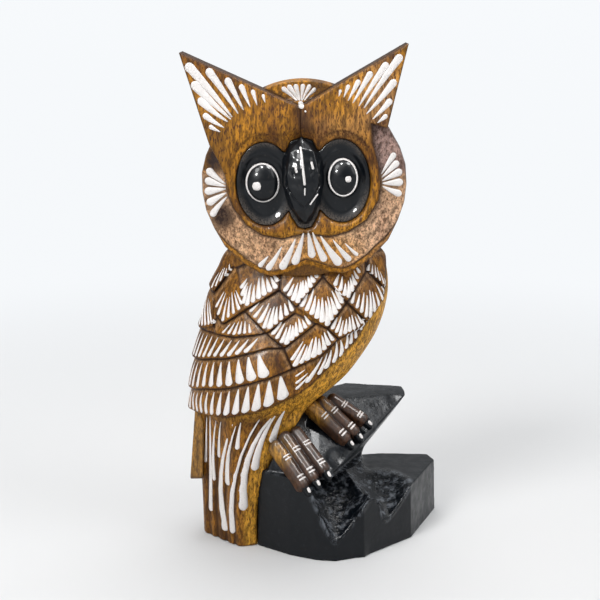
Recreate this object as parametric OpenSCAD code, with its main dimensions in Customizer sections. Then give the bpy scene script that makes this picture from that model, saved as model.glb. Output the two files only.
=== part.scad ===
// Carved wooden owl on a black stump, built up from glued blocks.
// +X is the way the bird's breast points, -Y is the side that the face looks to, +Z is up.
// The origin is the middle of the footprint box, on the table.

/* [Body] */
// Thickness of the carved wing shells at the bird's back
wing_t = 3; // [2:0.5:3]
// Height of the glue face between the tail block and the torso block
torso_z = 57; // [55:1:58]
// Height of the glue face between the torso block and the head block
neck_z = 122; // [121:1:122]

/* [Head] */
// Height of the middle of the face
head_z = 148; // [147:1:149]
// Sideways place of the middle of the face
head_x = -5.4; // [-6:0.1:-5]
// Sideways lean of the head, the bird's left side up
head_lean = 2.5; // [0:0.5:4]
// Sideways place of each ear tip, from the middle of the face
ear_u = 42; // [40:0.5:43]
// Height of the ear tips over the middle of the face
ear_w = 52.2; // [50:0.1:53]
// Half of the distance between the eyes
eye_u = 15; // [14:0.1:16]
// Radius of an eye dome at its foot
eye_r = 6.6; // [6:0.1:7]

/* [Stump] */
// Height of the flat top of the rock beside the perch
rock_z = 22.5; // [20:0.5:24]
// Height of the top of the perch
perch_z = 56; // [54:0.5:56]

/* [Feet] */
// Radius of a toe
toe_r = 2.1; // [1.6:0.1:2.4]

/* [Dowels] */
// Radius of the large dowels, in the neck and in the seat
dowel_r = 4; // [3:0.5:5]
// Radius of the small dowels, in the legs and in the stump
pin_r = 2.5; // [2:0.5:3]
// Glue clearance round a dowel
glue = 0.1; // [0.05:0.05:0.2]

/* [Hidden] */
$fn = 32;

// The skin under the wings, as [height, X] down the bird's back and down its breast,
// and as [height, half of its depth along Y].
back_x = [[0, -47], [24, -47.6], [57, -50.2], [70, -49.3], [85, -46.6], [100, -42.6], [110, -39.4], [118, -36.8],
  [121, -35.4], [122, -33.8]];
breast_x = [[0, -24], [12, -24.4], [24, -23], [36, -18.5], [48, -11], [57, -3], [63, 5.6], [70, 13.4],
  [78, 19], [86, 24], [95, 27.4], [104, 29], [111, 28.6], [118, 27.2], [121, 26], [122, 24.6]];
half_depth = [[57, 24], [66, 26], [80, 27], [95, 24.4], [104, 21.4], [111, 18.6], [114, 17.8], [121, 16.8], [122, 16]];
// The wing's front edge, as [height, X].
wing_edge = [[57, -26], [59, -20.5], [62, -14.6], [66, -9], [70, -3.2], [76, 3.1], [84, 10.4], [92, 17],
  [100, 22], [106, 24.6], [120, 25.6]];
wing_top = 120;
edge_t = 1.8;        // thickness of a wing shell at its front edge
shoulder_t = 1;      // its thickness where the face disc stands over it
tail_front_y = 16;   // half of the tail's width where it meets the stump
tail_flank_y = 18;   // half of its width at the corner behind that
tail_flank_dx = 15;  // from the back ridge to that corner
face_y = -23;        // plane behind the brows and the eye mask
brow_y = -28;        // front of the brows
block_y = 32.2;      // half of the depth of the whole carving block
eye_w = 4.4;         // height of the eye domes over the middle of the face
eye_peg_r = 2;       // radius of the peg on the back of an eye
beak_peg_w = 2;      // height of the peg on the back of the beak

black = [0.05, 0.05, 0.06];
brown = [0.55, 0.33, 0.12];
tan = [0.66, 0.45, 0.27];
dark_brown = [0.3, 0.15, 0.07];
beech = [0.8, 0.68, 0.5];

// A closed solid through rings of points, each ring seen anticlockwise from above, lowest first.
// A curved strip's ring runs out along one side and back along the other, and its ends are closed in steps.
module ring_stack(rings, strip = false) {
  n = len(rings[0]);
  last = n * (len(rings) - 1);
  caps = strip ? [for (i = [0:n / 2 - 2]) [i, i + 1, n - 2 - i, n - 1 - i]] : [[for (i = [0:n - 1]) i]];
  polyhedron(
    points = [for (ring = rings) each ring],
    faces = concat(
      caps,
      [for (low = [0:n:last - n], i = [0:n - 1]) [low + i, low + n + i, low + n + (i + 1) % n]],
      [for (low = [0:n:last - n], i = [0:n - 1]) [low + i, low + n + (i + 1) % n, low + (i + 1) % n]],
      [for (cap = caps) [for (i = [len(cap) - 1:-1:0]) last + cap[i]]]
    )
  );
}

// A point of the skin: turn is 0 on the back ridge, 90 on the right flank and 180 on the breast.
function skin(turn, z, out = 0) =
  let (low = lookup(z, back_x), high = lookup(z, breast_x))
  [(low + high) / 2 - ((high - low) / 2 + out) * cos(turn), -(lookup(z, half_depth) + out) * sin(turn), z];

// The turn at which the wing's front edge lies at a height.
function edge_turn(z) =
  let (low = lookup(z, back_x), high = lookup(z, breast_x))
  acos(((low + high) / 2 - lookup(z, wing_edge)) / ((high - low) / 2));

// A convex block through corner points.
module block(corners) {
  hull() polyhedron(points = corners, faces = [[for (i = [0:len(corners) - 1]) i]]);
}

// A rod with round ends.
module rod(from, to, r) {
  hull() {
    translate(from) sphere(r, $fn = 16);
    translate(to) sphere(r, $fn = 16);
  }
}

// A cylinder that starts at a point and runs along an axis turned from +Z.
module pin_at(place, turn, r, h) {
  translate(place) rotate(turn) cylinder(r = r, h = h);
}

// ---------- owl ----------
module neck_pin(r, extra = 0) { pin_at([-6, 0, neck_z - 15 - extra], [0, 0, 0], r, 30 + 2 * extra); }
module seat_pin(r, extra = 0) { pin_at([-30, 0, torso_z - 12 - extra], [0, 0, 0], r, 26 + 2 * extra); }
module tail_pins(r, extra = 0) {
  pin_at([-37 - extra, 0, 11], [0, 90, 0], r, 26 + 2 * extra);
  pin_at([-31 - extra, 0, 36], [0, 90, 0], r, 26 + 2 * extra);
}

module torso() {
  levels = [torso_z, 60, 63, 66, 70, 74, 78, 82, 86, 90, 95, 100, 104, 108, 111, 114, 118, 121, neck_z];
  color(brown) difference() {
    ring_stack([for (z = levels) [for (i = [0:31]) skin(i * 360 / 32, z)]]);
    neck_pin(dowel_r + glue, 1);
    seat_pin(dowel_r + glue, 1);
  }
}

// The tail block's outline at a height.
function tail_ring(z) =
  let (low = lookup(z, back_x), high = lookup(z, breast_x), wide = 5 * z / torso_z)
  [[low, -3, z], [low + tail_flank_dx, -tail_flank_y - wide, z], [high, -tail_front_y, z],
   [high, tail_front_y, z], [low + tail_flank_dx, tail_flank_y + wide, z], [low, 3, z]];

module tail() {
  color(brown) difference() {
    ring_stack([for (z = [0, 12, 24, 36, 48, torso_z - 0.02]) tail_ring(z)]);
    seat_pin(dowel_r + glue, 1);
    tail_pins(pin_r + glue, 1);
  }
}

module rear_tail_feathers() {
  slab_t = 2.6;
  color(dark_brown)
    block([for (side = [-8, 8], end = [[-51.2, 25], [-53, torso_z - 0.6]], depth = [0, slab_t])
      [end[0] + depth, side, end[1]]]);
}

module right_wing() {
  steps = 14;
  levels = [torso_z + 0.02, 59, 62, 66, 70, 76, 80, 84, 88, 92, 96, 100, 103, 106, 110, 114, wing_top];
  function thick(i, z) = lookup(z, [[103, wing_t - (wing_t - edge_t) * i / steps], [114, shoulder_t]]);
  function turn(i, z) = 1.5 + (edge_turn(z) - 1.5) * i / steps;
  color(brown)
    ring_stack([for (z = levels) concat(
      [for (i = [0:steps]) skin(turn(i, z), z, glue + thick(i, z))],
      [for (i = [steps:-1:0]) skin(turn(i, z), z, glue)])], strip = true);
}

module left_wing() {
  mirror([0, 1, 0]) right_wing();
}

// ---------- head, drawn with U to the bird's left as X, W up as Z ----------
module on_head() {
  translate([head_x, 0, head_z]) rotate([0, -head_lean, 0]) children();
}

// A plate with an outline in U and W, from one Y to another.
module face_plate(front, rear) {
  translate([0, rear, 0]) rotate([90, 0, 0]) linear_extrude(rear - front) children();
}

module eye_shape(grow = 0) {
  translate([eye_u - 0.6, 2.7]) scale([10.9 + grow, 15.8 + grow]) circle(1, $fn = 32);
}

// Half of the face disc's edge, from the notch in the chin to the crown.
disc_edge = [[4, -31.6], [9, -33.8], [16.3, -32.5], [24.5, -28], [31, -21.5], [34.8, -14], [37.4, -7],
  [38.4, 0], [38.2, 7.4], [36.3, 14], [32.5, 21.5], [26, 28.5], [16, 33.5]];

module face_outline() {
  polygon(concat([[0, -29.6]], disc_edge, [for (i = [len(disc_edge) - 1:-1:0]) [-disc_edge[i][0], disc_edge[i][1]]]));
}

module head() {
  // Sections of the skull from the face to the back: Y, half width, half height, middle W.
  skull = [[face_y + 5.5, 37, 35.6, 2], [-4, 37, 37.4, 3], [12, 31.5, 32.4, 3], [22, 21, 22, 3]];
  lip_back = -20.4;
  color(tan) difference() {
    union() {
      on_head() face_plate(face_y, face_y + 5) face_outline();
      intersection() {
        on_head() hull() {
          for (part = skull)
            translate([0, part[0], part[3]]) rotate([90, 0, 0]) linear_extrude(1) scale([part[1], part[2]])
              circle(1, $fn = 32);
        }
        translate([-60, -40, neck_z + 0.02]) cube([120, 80, 100]);
      }
    }
    translate([-60, lip_back, neck_z - 30]) cube([120, 60, 30.02]);
    neck_pin(dowel_r + glue, 1);
    on_head() {
      for (side = [-1, 1]) pin_at([side * eye_u, face_y + 7, eye_w], [90, 0, 0], eye_peg_r + glue, 10);
      pin_at([0, face_y + 9, beak_peg_w], [90, 0, 0], pin_r + glue, 12);
    }
  }
}

// The left half of the brow: ear tuft, brow and the ring below the eye.
module brow_outline() {
  difference() {
    polygon([[0.1, 31.3], [ear_u, ear_w], [32.5, 21.5], [29.4, 13], [28.3, 4], [26.6, -5.3],
      [22, -12.6], [16, -17], [9, -18.6], [0.1, -16.6]]);
    eye_shape(0.1);
    polygon([[-1, 20.6], [4, 18.4], [7.6, 11], [7, -1], [4, -10], [-1, -16]]);
  }
}

module brow() {
  face_plate(brow_y, face_y - 0.05) brow_outline();
  face_plate(face_y - 0.1, -14)
    polygon([[18, 40.1], [ear_u - 0.8, ear_w - 0.6], [34.5, 26.5], [30.5, 29.4], [24, 34.6]]);
}

module left_brow() {
  color(brown) on_head() brow();
}

module right_brow() {
  color(brown) on_head() mirror([1, 0, 0]) brow();
}

module eye_mask() {
  color(black) on_head() difference() {
    face_plate(face_y - 1.5, face_y - 0.05) {
      eye_shape();
      mirror([1, 0]) eye_shape();
      polygon([[-7.4, 11], [-4, 18.2], [4, 18.2], [7.4, 11], [6.8, -1], [4, -10], [-4, -10], [-6.8, -1]]);
    }
    for (side = [-1, 1]) pin_at([side * eye_u, face_y + 2, eye_w], [90, 0, 0], eye_peg_r + glue, 6);
    pin_at([0, face_y + 2, beak_peg_w], [90, 0, 0], pin_r + glue, 6);
  }
}

module eye_dome() {
  dome_h = 3.8;
  ball_r = (eye_r * eye_r + dome_h * dome_h) / (2 * dome_h);
  translate([eye_u, face_y - 1.55, eye_w]) {
    intersection() {
      translate([0, ball_r - dome_h, 0]) sphere(ball_r, $fn = 48);
      translate([-10, -10, -10]) cube([20, 10, 20]);
    }
    rotate([-90, 0, 0]) cylinder(r = eye_peg_r, h = 7);
  }
}

module left_eye() { color(black) on_head() eye_dome(); }
module right_eye() { color(black) on_head() mirror([1, 0, 0]) eye_dome(); }

module beak() {
  color(black) on_head() {
    hull() {
      for (at = [[0, -27, 19], [0, -block_y + 1.4, 8], [0, -block_y + 1, 0], [0, -29, -11.6]])
        translate(at) sphere(1, $fn = 12);
      for (side = [-1, 1])
        translate([side * 5.9, face_y - 2.7, 9]) sphere(1, $fn = 12);
      for (side = [-1, 1])
        translate([side * 5.4, face_y - 2.7, -1]) sphere(1, $fn = 12);
    }
    pin_at([0, face_y - 2.6, beak_peg_w], [-90, 0, 0], pin_r, 11);
  }
}

// ---------- stump ----------
module perch_pins(r, extra = 0) {
  for (at = [[0, 14], [10, 4]]) pin_at([at[0], at[1], 24 - extra], [0, 0, 0], r, 20 + 2 * extra);
}

// Corners up the face that the owl's tail and thigh lie against, between two heights.
function owl_side(zs, y) = [for (z = zs) [lookup(z, breast_x) + glue, y, z]];

rock_split = 32;   // glue face between the two blocks of the stump

// The rock's outline at a height, from the tail's near edge round to its far edge.
function rock_ring(z) = [for (at = [[lookup(z, breast_x) + glue, -16], [-10.7, -26], [0, -30.4], [7.6, -block_y],
  [18.8, -27.4], [39.5, -8], [52.4, 24], [50, 30], [38, block_y], [-8, block_y - 1],
  [lookup(z, breast_x) + glue, 18]]) [at[0], at[1], z]];

module stump_base() {
  low = rock_z - 3;
  top = rock_split - 0.02;
  color(black) difference() {
    union() {
      ring_stack([for (z = [0, 12, rock_z]) rock_ring(z)]);
      block(concat(owl_side([low, 24, top], -15), owl_side([low, 24, top], 17),
        [[-12, -23, low], [-12, -22, top], [-2, -27, low], [-2, -26.6, top], [-6, 28, low], [-6, 26, top],
         [9, -24, low + 2], [4, -25, top], [17, -8, top], [18, 18, top], [8, 27, top], [24, 0, low], [24, 22, low]]));
    }
    tail_pins(pin_r + glue, 1);
    perch_pins(pin_r + glue, 1);
  }
}

module perch() {
  color(black) difference() {
    union() {
      block(concat(owl_side([rock_split, 36, 42, 48], -14), owl_side([rock_split, 36, 42, 48, torso_z - 1.2], 20),
        [[0.8, -26, rock_split + 0.4], [-4, -27, rock_split], [-14, -20, rock_split], [16, -9, rock_split],
         [17, 16, rock_split], [-4, 27, rock_split],
         [0, -7, perch_z + 1.6], [0, 8, perch_z + 1.6], [12, 5, perch_z], [14, 24, perch_z], [18, -8, 40.5]]));
      block([[6, 6, perch_z], [12, 24, perch_z], [34, 9, perch_z - 0.6], [36, 22, perch_z], [38, 15, perch_z - 0.8],
        [18, -8, 40.5], [4, -20, 35], [14, 16, rock_split], [6, 0, rock_split]]);
    }
    tail_pins(pin_r + glue, 1);
    perch_pins(pin_r + glue, 1);
  }
}

// ---------- feet: each toe runs from its root to the root of its claw ----------
right_toes = [[[-14, -21.8, 42], [-5.4, -28.4, 31.4]], [[-10.4, -20.4, 45], [-1.6, -27.8, 34.2]],
  [[-6, -18.6, 46.6], [2.6, -26.4, 37.2]]];
left_toes = [[[2.6, -9.4, 54], [13.6, -12.6, 43.4]], [[6.4, -7, 55.4], [17, -10.4, 45.6]],
  [[10.8, -4.8, 56.4], [20.2, -6.6, 50]]];

module toes(list) {
  for (toe = list) rod(toe[0], toe[1], toe_r);
}

module claws(list) {
  for (toe = list) {
    along = (toe[1] - toe[0]) / norm(toe[1] - toe[0]);
    hull() {
      translate(toe[1] + along * (2 * toe_r + 0.1)) sphere(toe_r * 0.8, $fn = 16);
      translate(toe[1] + along * (2 * toe_r + 1) + [0, 0, -2]) sphere(0.8, $fn = 16);
    }
  }
}

module right_foot() { color(dark_brown) toes(right_toes); }
module left_foot() { color(dark_brown) toes(left_toes); }
module right_claws() { color(black) claws(right_toes); }
module left_claws() { color(black) claws(left_toes); }

module neck_dowel() { color(beech) neck_pin(dowel_r); }
module seat_dowel() { color(beech) seat_pin(dowel_r); }
module tail_dowels() { color(beech) tail_pins(pin_r); }
module perch_dowels() { color(beech) perch_pins(pin_r); }

stump_base();
perch();
tail();
rear_tail_feathers();
torso();
right_wing();
left_wing();
head();
right_brow();
left_brow();
eye_mask();
right_eye();
left_eye();
beak();
right_foot();
left_foot();
right_claws();
left_claws();
neck_dowel();
seat_dowel();
tail_dowels();
perch_dowels();
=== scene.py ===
import math

import bmesh
import bpy
import numpy as np
from mathutils import Matrix, Vector
from mathutils.bvhtree import BVHTree


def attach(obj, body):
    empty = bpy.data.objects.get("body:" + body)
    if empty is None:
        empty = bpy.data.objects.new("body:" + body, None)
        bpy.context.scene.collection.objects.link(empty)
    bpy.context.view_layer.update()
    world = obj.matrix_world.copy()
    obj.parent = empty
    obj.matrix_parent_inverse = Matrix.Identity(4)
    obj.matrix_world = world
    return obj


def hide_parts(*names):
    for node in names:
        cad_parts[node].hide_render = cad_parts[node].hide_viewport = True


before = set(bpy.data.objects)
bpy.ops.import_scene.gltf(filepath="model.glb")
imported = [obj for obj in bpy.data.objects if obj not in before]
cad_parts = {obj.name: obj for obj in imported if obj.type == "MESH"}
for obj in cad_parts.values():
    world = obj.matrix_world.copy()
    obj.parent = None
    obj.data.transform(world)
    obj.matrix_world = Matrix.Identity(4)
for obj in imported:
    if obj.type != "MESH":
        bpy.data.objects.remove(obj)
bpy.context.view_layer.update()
mm = 0.001
print("frame loaded")


class Wiring:
    # a short way to place nodes and join them
    def __init__(self, tree):
        self.tree = tree

    def add(self, kind, inputs=None, **settings):
        node = self.tree.nodes.new("ShaderNode" + kind)
        for key, value in settings.items():
            setattr(node, key, value)
        for key, value in (inputs or {}).items():
            if isinstance(value, bpy.types.NodeSocket):
                self.tree.links.new(value, node.inputs[key])
            else:
                node.inputs[key].default_value = value
        return node

    def noise(self, place, scale, detail=2.0, rough=0.5):
        return self.add("TexNoise", {"Vector": place, "Scale": scale, "Detail": detail,
                                     "Roughness": rough}).outputs["Fac"]

    def spread(self, value, low, high, toLow=0.0, toHigh=1.0):
        return self.add("MapRange", {"Value": value, "From Min": low, "From Max": high, "To Min": toLow,
                                     "To Max": toHigh}, interpolation_type="SMOOTHSTEP").outputs["Result"]

    def maths(self, operation, first, second, **settings):
        return self.add("Math", {0: first, 1: second}, operation=operation, **settings).outputs[0]

    def mix(self, share, first, second, blend="MIX"):
        node = self.add("Mix", data_type="RGBA", blend_type=blend)
        for socket, value in ((0, share), (6, first), (7, second)):
            if isinstance(value, bpy.types.NodeSocket):
                self.tree.links.new(value, node.inputs[socket])
            else:
                node.inputs[socket].default_value = value
        return node.outputs[2]

    def stretched(self, scale):
        place = self.add("TexCoord").outputs["Object"]
        return self.add("Mapping", {"Vector": place, "Scale": scale}).outputs["Vector"]


# ---------- camera, light and floor ----------
studio = {
    "cameraAt": (-6.7, -519.2, 219.2),
    "cameraAim": (-6.7, -2.75, 100),
    "lens": 78.96,
    "paper": (0.83, 0.85, 0.87),
    "nearPaper": 0.66,
    "worldBase": 0.22,
    "worldShares": (0.35, 0.1, 0.6),
    "floorReach": 90,
    "glowReach": (0.12, 0.55),
    "glow": 1.09,
    "lightsAim": (0, 0, 0.1),
    # where it stands, its width, its power, and whether it only shows as a glint on gloss
    "lights": {
        "keyLight": ((-0.45, -0.55, 0.75), 0.35, 5.2, False),
        "fillLight": ((0.75, -0.35, 0.5), 0.5, 2, False),
        "topLight": ((0.05, 0.25, 0.9), 0.6, 3.4, False),
        "glintLeft": ((-0.5, -0.75, 0.5), 0.16, 9, True),
        "glintRight": ((0.45, -0.3, 0.95), 0.3, 9, True),
        "glintHigh": ((-0.1, -0.45, 0.9), 0.14, 9, True),
    },
}


def makeCamera(settings):
    camera = bpy.data.objects.new("camera", bpy.data.cameras.new("camera"))
    camera.data.lens = settings["lens"]
    camera.data.sensor_width = 36
    camera.data.clip_end = 300
    camera.location = Vector(settings["cameraAt"]) * mm
    toward = (Vector(settings["cameraAim"]) - Vector(settings["cameraAt"])) * mm
    camera.rotation_euler = toward.to_track_quat("-Z", "Y").to_euler()
    bpy.context.collection.objects.link(camera)
    bpy.context.scene.camera = camera


def makeSoftbox(name, aim, place, width, power, glintOnly):
    light = bpy.data.lights.new(name, "AREA")
    light.shape = "DISK"
    light.size = width
    light.energy = power
    box = bpy.data.objects.new(name, light)
    box.location = place
    box.rotation_euler = (Vector(aim) - Vector(place)).to_track_quat("-Z", "Y").to_euler()
    box.visible_diffuse = not glintOnly
    bpy.context.collection.objects.link(box)


def makeWorld(settings):
    # brighter overhead and to the right than in front, so that dark gloss stays dark
    world = bpy.data.worlds.new("studio")
    bpy.context.scene.world = world
    world.use_nodes = True
    wires = Wiring(world.node_tree)
    place = wires.add("TexCoord").outputs["Generated"]
    facing = wires.add("SeparateXYZ", {0: place})
    total = settings["worldBase"]
    for axis, share in enumerate(settings["worldShares"]):
        term = wires.maths("MULTIPLY", facing.outputs[axis], share, use_clamp=True)
        total = wires.maths("ADD", term, total)
    back = world.node_tree.nodes["Background"]
    back.inputs["Color"].default_value = (*settings["paper"], 1)
    world.node_tree.links.new(total, back.inputs["Strength"])


def makeFloor(settings):
    # pale paper that is lit near the carving and glows evenly farther out
    floor = bpy.data.meshes.new("floor")
    reach = settings["floorReach"]
    floor.from_pydata([(-reach, -reach, 0), (reach, -reach, 0), (reach, reach, 0), (-reach, reach, 0)],
                      [], [(0, 1, 2, 3)])
    sheet = bpy.data.objects.new("floor", floor)
    sheet.location.z = -0.0002
    bpy.context.collection.objects.link(sheet)
    paper = bpy.data.materials.new("paper")
    paper.use_nodes = True
    wires = Wiring(paper.node_tree)
    shader = paper.node_tree.nodes["Principled BSDF"]
    shader.inputs["Roughness"].default_value = 0.85
    shader.inputs["Specular IOR Level"].default_value = 0.1
    shader.inputs["Emission Color"].default_value = (*settings["paper"], 1)
    place = wires.add("TexCoord").outputs["Object"]
    away = wires.add("VectorMath", {0: place}, operation="LENGTH").outputs["Value"]
    glow = wires.spread(away, *settings["glowReach"], 0, settings["glow"])
    grey = wires.spread(away, *settings["glowReach"], settings["nearPaper"], 0)
    paper.node_tree.links.new(glow, shader.inputs["Emission Strength"])
    paper.node_tree.links.new(grey, shader.inputs["Base Color"])
    floor.materials.append(paper)


makeCamera(studio)
makeWorld(studio)
makeFloor(studio)
for name, choices in studio["lights"].items():
    makeSoftbox(name, studio["lightsAim"], *choices)
bpy.context.scene.view_settings.view_transform = "Standard"
print("camera and studio ready")


# ---------- maths for carving ----------
def softStep(low, high, value):
    t = np.clip((value - low) / (high - low), 0, 1)
    return t * t * (3 - 2 * t)


def softMax(a, b, radius):
    h = np.clip(0.5 + 0.5 * (a - b) / radius, 0, 1)
    return b + (a - b) * h + radius * h * (1 - h)


def softMin(a, b, radius):
    return -softMax(-a, -b, radius)


def bump(value, width):
    return np.exp(-(value / width) ** 2)


def curveThrough(stations, blur=3.0):
    # a line through given stations, rounded where it bends
    at, value = np.array(stations, float).T
    step = 0.25
    fine = np.arange(at[0] - 4 * blur, at[-1] + 4 * blur, step)
    line = np.interp(fine, at, value)
    first = (value[1] - value[0]) / (at[1] - at[0])
    last = (value[-1] - value[-2]) / (at[-1] - at[-2])
    line = np.where(fine < at[0], value[0] + (fine - at[0]) * first, line)
    line = np.where(fine > at[-1], value[-1] + (fine - at[-1]) * last, line)
    spread = np.arange(-3 * blur, 3 * blur + step, step)
    weight = np.exp(-0.5 * (spread / blur) ** 2)
    padded = np.pad(line, len(spread) // 2, mode="edge")
    smooth = np.convolve(padded, weight / weight.sum(), mode="valid")[:len(fine)]
    return fine, smooth


def along(curve, value):
    return np.interp(value, curve[0], curve[1])


def segmentDistance(u, v, start, end):
    du, dv = end[0] - start[0], end[1] - start[1]
    t = np.clip(((u - start[0]) * du + (v - start[1]) * dv) / (du * du + dv * dv), 0, 1)
    return np.hypot(u - start[0] - t * du, v - start[1] - t * dv)


def lineDistance(u, v, points):
    nearest = np.full(u.shape, 1e3)
    for start, end in zip(points, points[1:]):
        nearest = np.minimum(nearest, segmentDistance(u, v, start, end))
    return nearest


def insideOutline(u, v, points):
    inside = np.zeros(u.shape, bool)
    for start, end in zip(points, points[1:] + points[:1]):
        if start[1] != end[1]:
            reach = start[0] + (v - start[1]) * (end[0] - start[0]) / (end[1] - start[1])
            inside ^= ((start[1] > v) != (end[1] > v)) & (u < reach)
    return inside


def outlineDistance(u, v, points):
    # below zero inside the outline
    apart = lineDistance(u, v, points + points[:1])
    return np.where(insideOutline(u, v, points), -apart, apart)


class Chart:
    # a flat grid of values over (u, v) that carving fields read at any point
    def __init__(self, low, high, step=0.25):
        self.low, self.step = low, step
        us = np.arange(low[0], high[0] + step, step)
        vs = np.arange(low[1], high[1] + step, step)
        self.u, self.v = np.meshgrid(us, vs, indexing="ij")

    def blurred(self, values, times=1):
        for _ in range(times):
            for axis in (0, 1):
                values = 0.5 * values + 0.25 * (np.roll(values, 1, axis) + np.roll(values, -1, axis))
        return values

    def read(self, values, u, v):
        i = np.clip((u - self.low[0]) / self.step, 0, values.shape[0] - 1.001)
        j = np.clip((v - self.low[1]) / self.step, 0, values.shape[1] - 1.001)
        a, b = i.astype(int), j.astype(int)
        s, t = i - a, j - b
        return ((1 - s) * ((1 - t) * values[a, b] + t * values[a, b + 1])
                + s * ((1 - t) * values[a + 1, b] + t * values[a + 1, b + 1]))


cubeCorners = [(i, j, k) for i in (0, 1) for j in (0, 1) for k in (0, 1)]
cubeEdges = [(a, b) for a in cubeCorners for b in cubeCorners if a < b and sum(b) - sum(a) == 1
             and sum(abs(b[i] - a[i]) for i in range(3)) == 1]


def carveMesh(field, low, high, cell):
    # the surface where the field is zero, as points and quads, pulled onto the exact shape
    low = np.array(low, float)
    xs, ys, zs = [np.arange(low[i], high[i] + cell, cell) for i in range(3)]
    values = np.empty((len(xs), len(ys), len(zs)), np.float32)
    for start in range(0, len(xs), 16):
        part = np.meshgrid(xs[start:start + 16], ys, zs, indexing="ij")
        values[start:start + 16] = field(*part)
    inside = values < 0
    nx, ny, nz = (n - 1 for n in values.shape)
    count = sum(inside[i:nx + i, j:ny + j, k:nz + k].astype(np.int8) for i, j, k in cubeCorners)
    active = (count > 0) & (count < 8)
    cells = np.argwhere(active)
    number = np.full(active.shape, -1, np.int64)
    number[active] = np.arange(len(cells))
    total = np.zeros((len(cells), 3))
    hits = np.zeros((len(cells), 1))
    for a, b in cubeEdges:
        first = values[tuple((cells + a).T)]
        second = values[tuple((cells + b).T)]
        crosses = (first < 0) != (second < 0)
        t = (first[crosses] / (first[crosses] - second[crosses]))[:, None]
        total[crosses] += np.array(a) + t * (np.array(b) - np.array(a))
        hits[crosses] += 1
    points = low + (cells + total / hits) * cell
    quads = []
    for axis in range(3):
        side, other = [i for i in range(3) if i != axis]
        ahead = [slice(1, -1)] * 3
        behind = [slice(1, -1)] * 3
        ahead[axis], behind[axis] = slice(1, None), slice(None, -1)
        near, far = inside[tuple(behind)], inside[tuple(ahead)]
        spots = np.argwhere(near != far) + np.array([0 if i == axis else 1 for i in range(3)])
        leaving = near[near != far]
        stepA, stepB = np.zeros(3, int), np.zeros(3, int)
        stepA[side], stepB[other] = 1, 1
        turns = (0 * stepA, stepA, stepA + stepB, stepB)
        quad = np.stack([number[tuple((spots - step).T)] for step in turns], axis=1)
        turn = leaving if axis != 1 else ~leaving
        quad[~turn] = quad[~turn][:, ::-1]
        quads.append(quad)
    quads = np.concatenate(quads)
    for _ in range(3):
        here = field(*points.T)
        slope = fieldSlope(field, points)
        length = np.maximum((slope ** 2).sum(1), 0.05)
        move = -(here / length)[:, None] * slope
        size = np.linalg.norm(move, axis=1, keepdims=True)
        points = points + move * np.minimum(1, 0.35 * cell / np.maximum(size, 1e-9))
    return points, quads


def fieldSlope(field, points, reach=0.06):
    slope = np.empty_like(points)
    for axis in range(3):
        offset = np.zeros(3)
        offset[axis] = reach
        slope[:, axis] = (field(*(points + offset).T) - field(*(points - offset).T)) / (2 * reach)
    return slope


def meshObject(name, points, faces, smooth=True):
    mesh = bpy.data.meshes.new(name)
    mesh.from_pydata(np.asarray(points, float) * mm, [], [tuple(int(i) for i in f) for f in faces])
    mesh.validate()
    if smooth:
        mesh.polygons.foreach_set("use_smooth", [True] * len(mesh.polygons))
    mesh.update()
    piece = bpy.data.objects.new(name, mesh)
    bpy.context.collection.objects.link(piece)
    return piece


def closeMesh(piece, weld=0.0):
    # joins points that fall together, and turns every face outward
    work = bmesh.new()
    work.from_mesh(piece.data)
    if weld:
        bmesh.ops.remove_doubles(work, verts=work.verts[:], dist=weld)
    bmesh.ops.recalc_face_normals(work, faces=work.faces[:])
    work.to_mesh(piece.data)
    work.free()


def carveObject(name, field, low, high, cell):
    return meshObject(name, *carveMesh(field, low, high, cell))


def finishPiece(piece, slotName, material, *nodes):
    piece.data.materials.append(material)
    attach(piece, "root")
    if nodes:
        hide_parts(*nodes)


def pointsOf(piece):
    flat = np.empty(len(piece.data.vertices) * 3)
    piece.data.vertices.foreach_get("co", flat)
    return flat.reshape(-1, 3) / mm


def paintTone(piece, dark=0, pale=0, gold=0, plum=0):
    # four tones held on the surface: darkening (dark stain and painted shade in creases and under edges),
    # pale (pale wood, a painted highlight on feather top edges, wear on black paint), golden stain (on
    # black paint, the carved hollows with their painted glints) and plum stain
    total = len(piece.data.vertices)
    tone = np.zeros((total, 4), np.float32)
    for channel, value in enumerate((dark, pale, gold, plum)):
        tone[:, channel] = np.clip(value, 0, 1)
    layer = piece.data.color_attributes.new("tone", "FLOAT_COLOR", "POINT")
    layer.data.foreach_set("color", tone.ravel())


# ---------- materials ----------
colours = {
    "feather": (0.25, 0.105, 0.012),
    "featherDeep": (0.055, 0.018, 0.003),
    "belly": (0.5, 0.245, 0.026),
    # pale wood, and the painted highlight on each feather's rounded top edge
    "paleWoodAndHighlight": (0.5, 0.28, 0.12),
    "brow": (0.4, 0.17, 0.013),
    "browDeep": (0.08, 0.024, 0.003),
    "cheek": (0.63, 0.39, 0.22),
    "cheekDeep": (0.3, 0.15, 0.07),
    "plum": (0.3, 0.195, 0.17),
    # dark stain, and the painted shade in creases and under edges
    "crease": (0.022, 0.008, 0.004),
    "fleck": (0.07, 0.022, 0.007),
    "toe": (0.06, 0.024, 0.008),
    "toeDeep": (0.02, 0.008, 0.004),
    "black": (0.0022, 0.0036, 0.0056),
    # grey of rubbed black paint, and of the painted glints in the carved hollows
    "wearAndGlintGrey": (0.115, 0.127, 0.145),
    "wornBrown": (0.1, 0.08, 0.065),
    "dowel": (0.55, 0.38, 0.2),
    "dowelDeep": (0.42, 0.27, 0.13),
    "paint": (0.8, 0.76, 0.735),
    "paintThin": (0.5, 0.43, 0.4),
}


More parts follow.
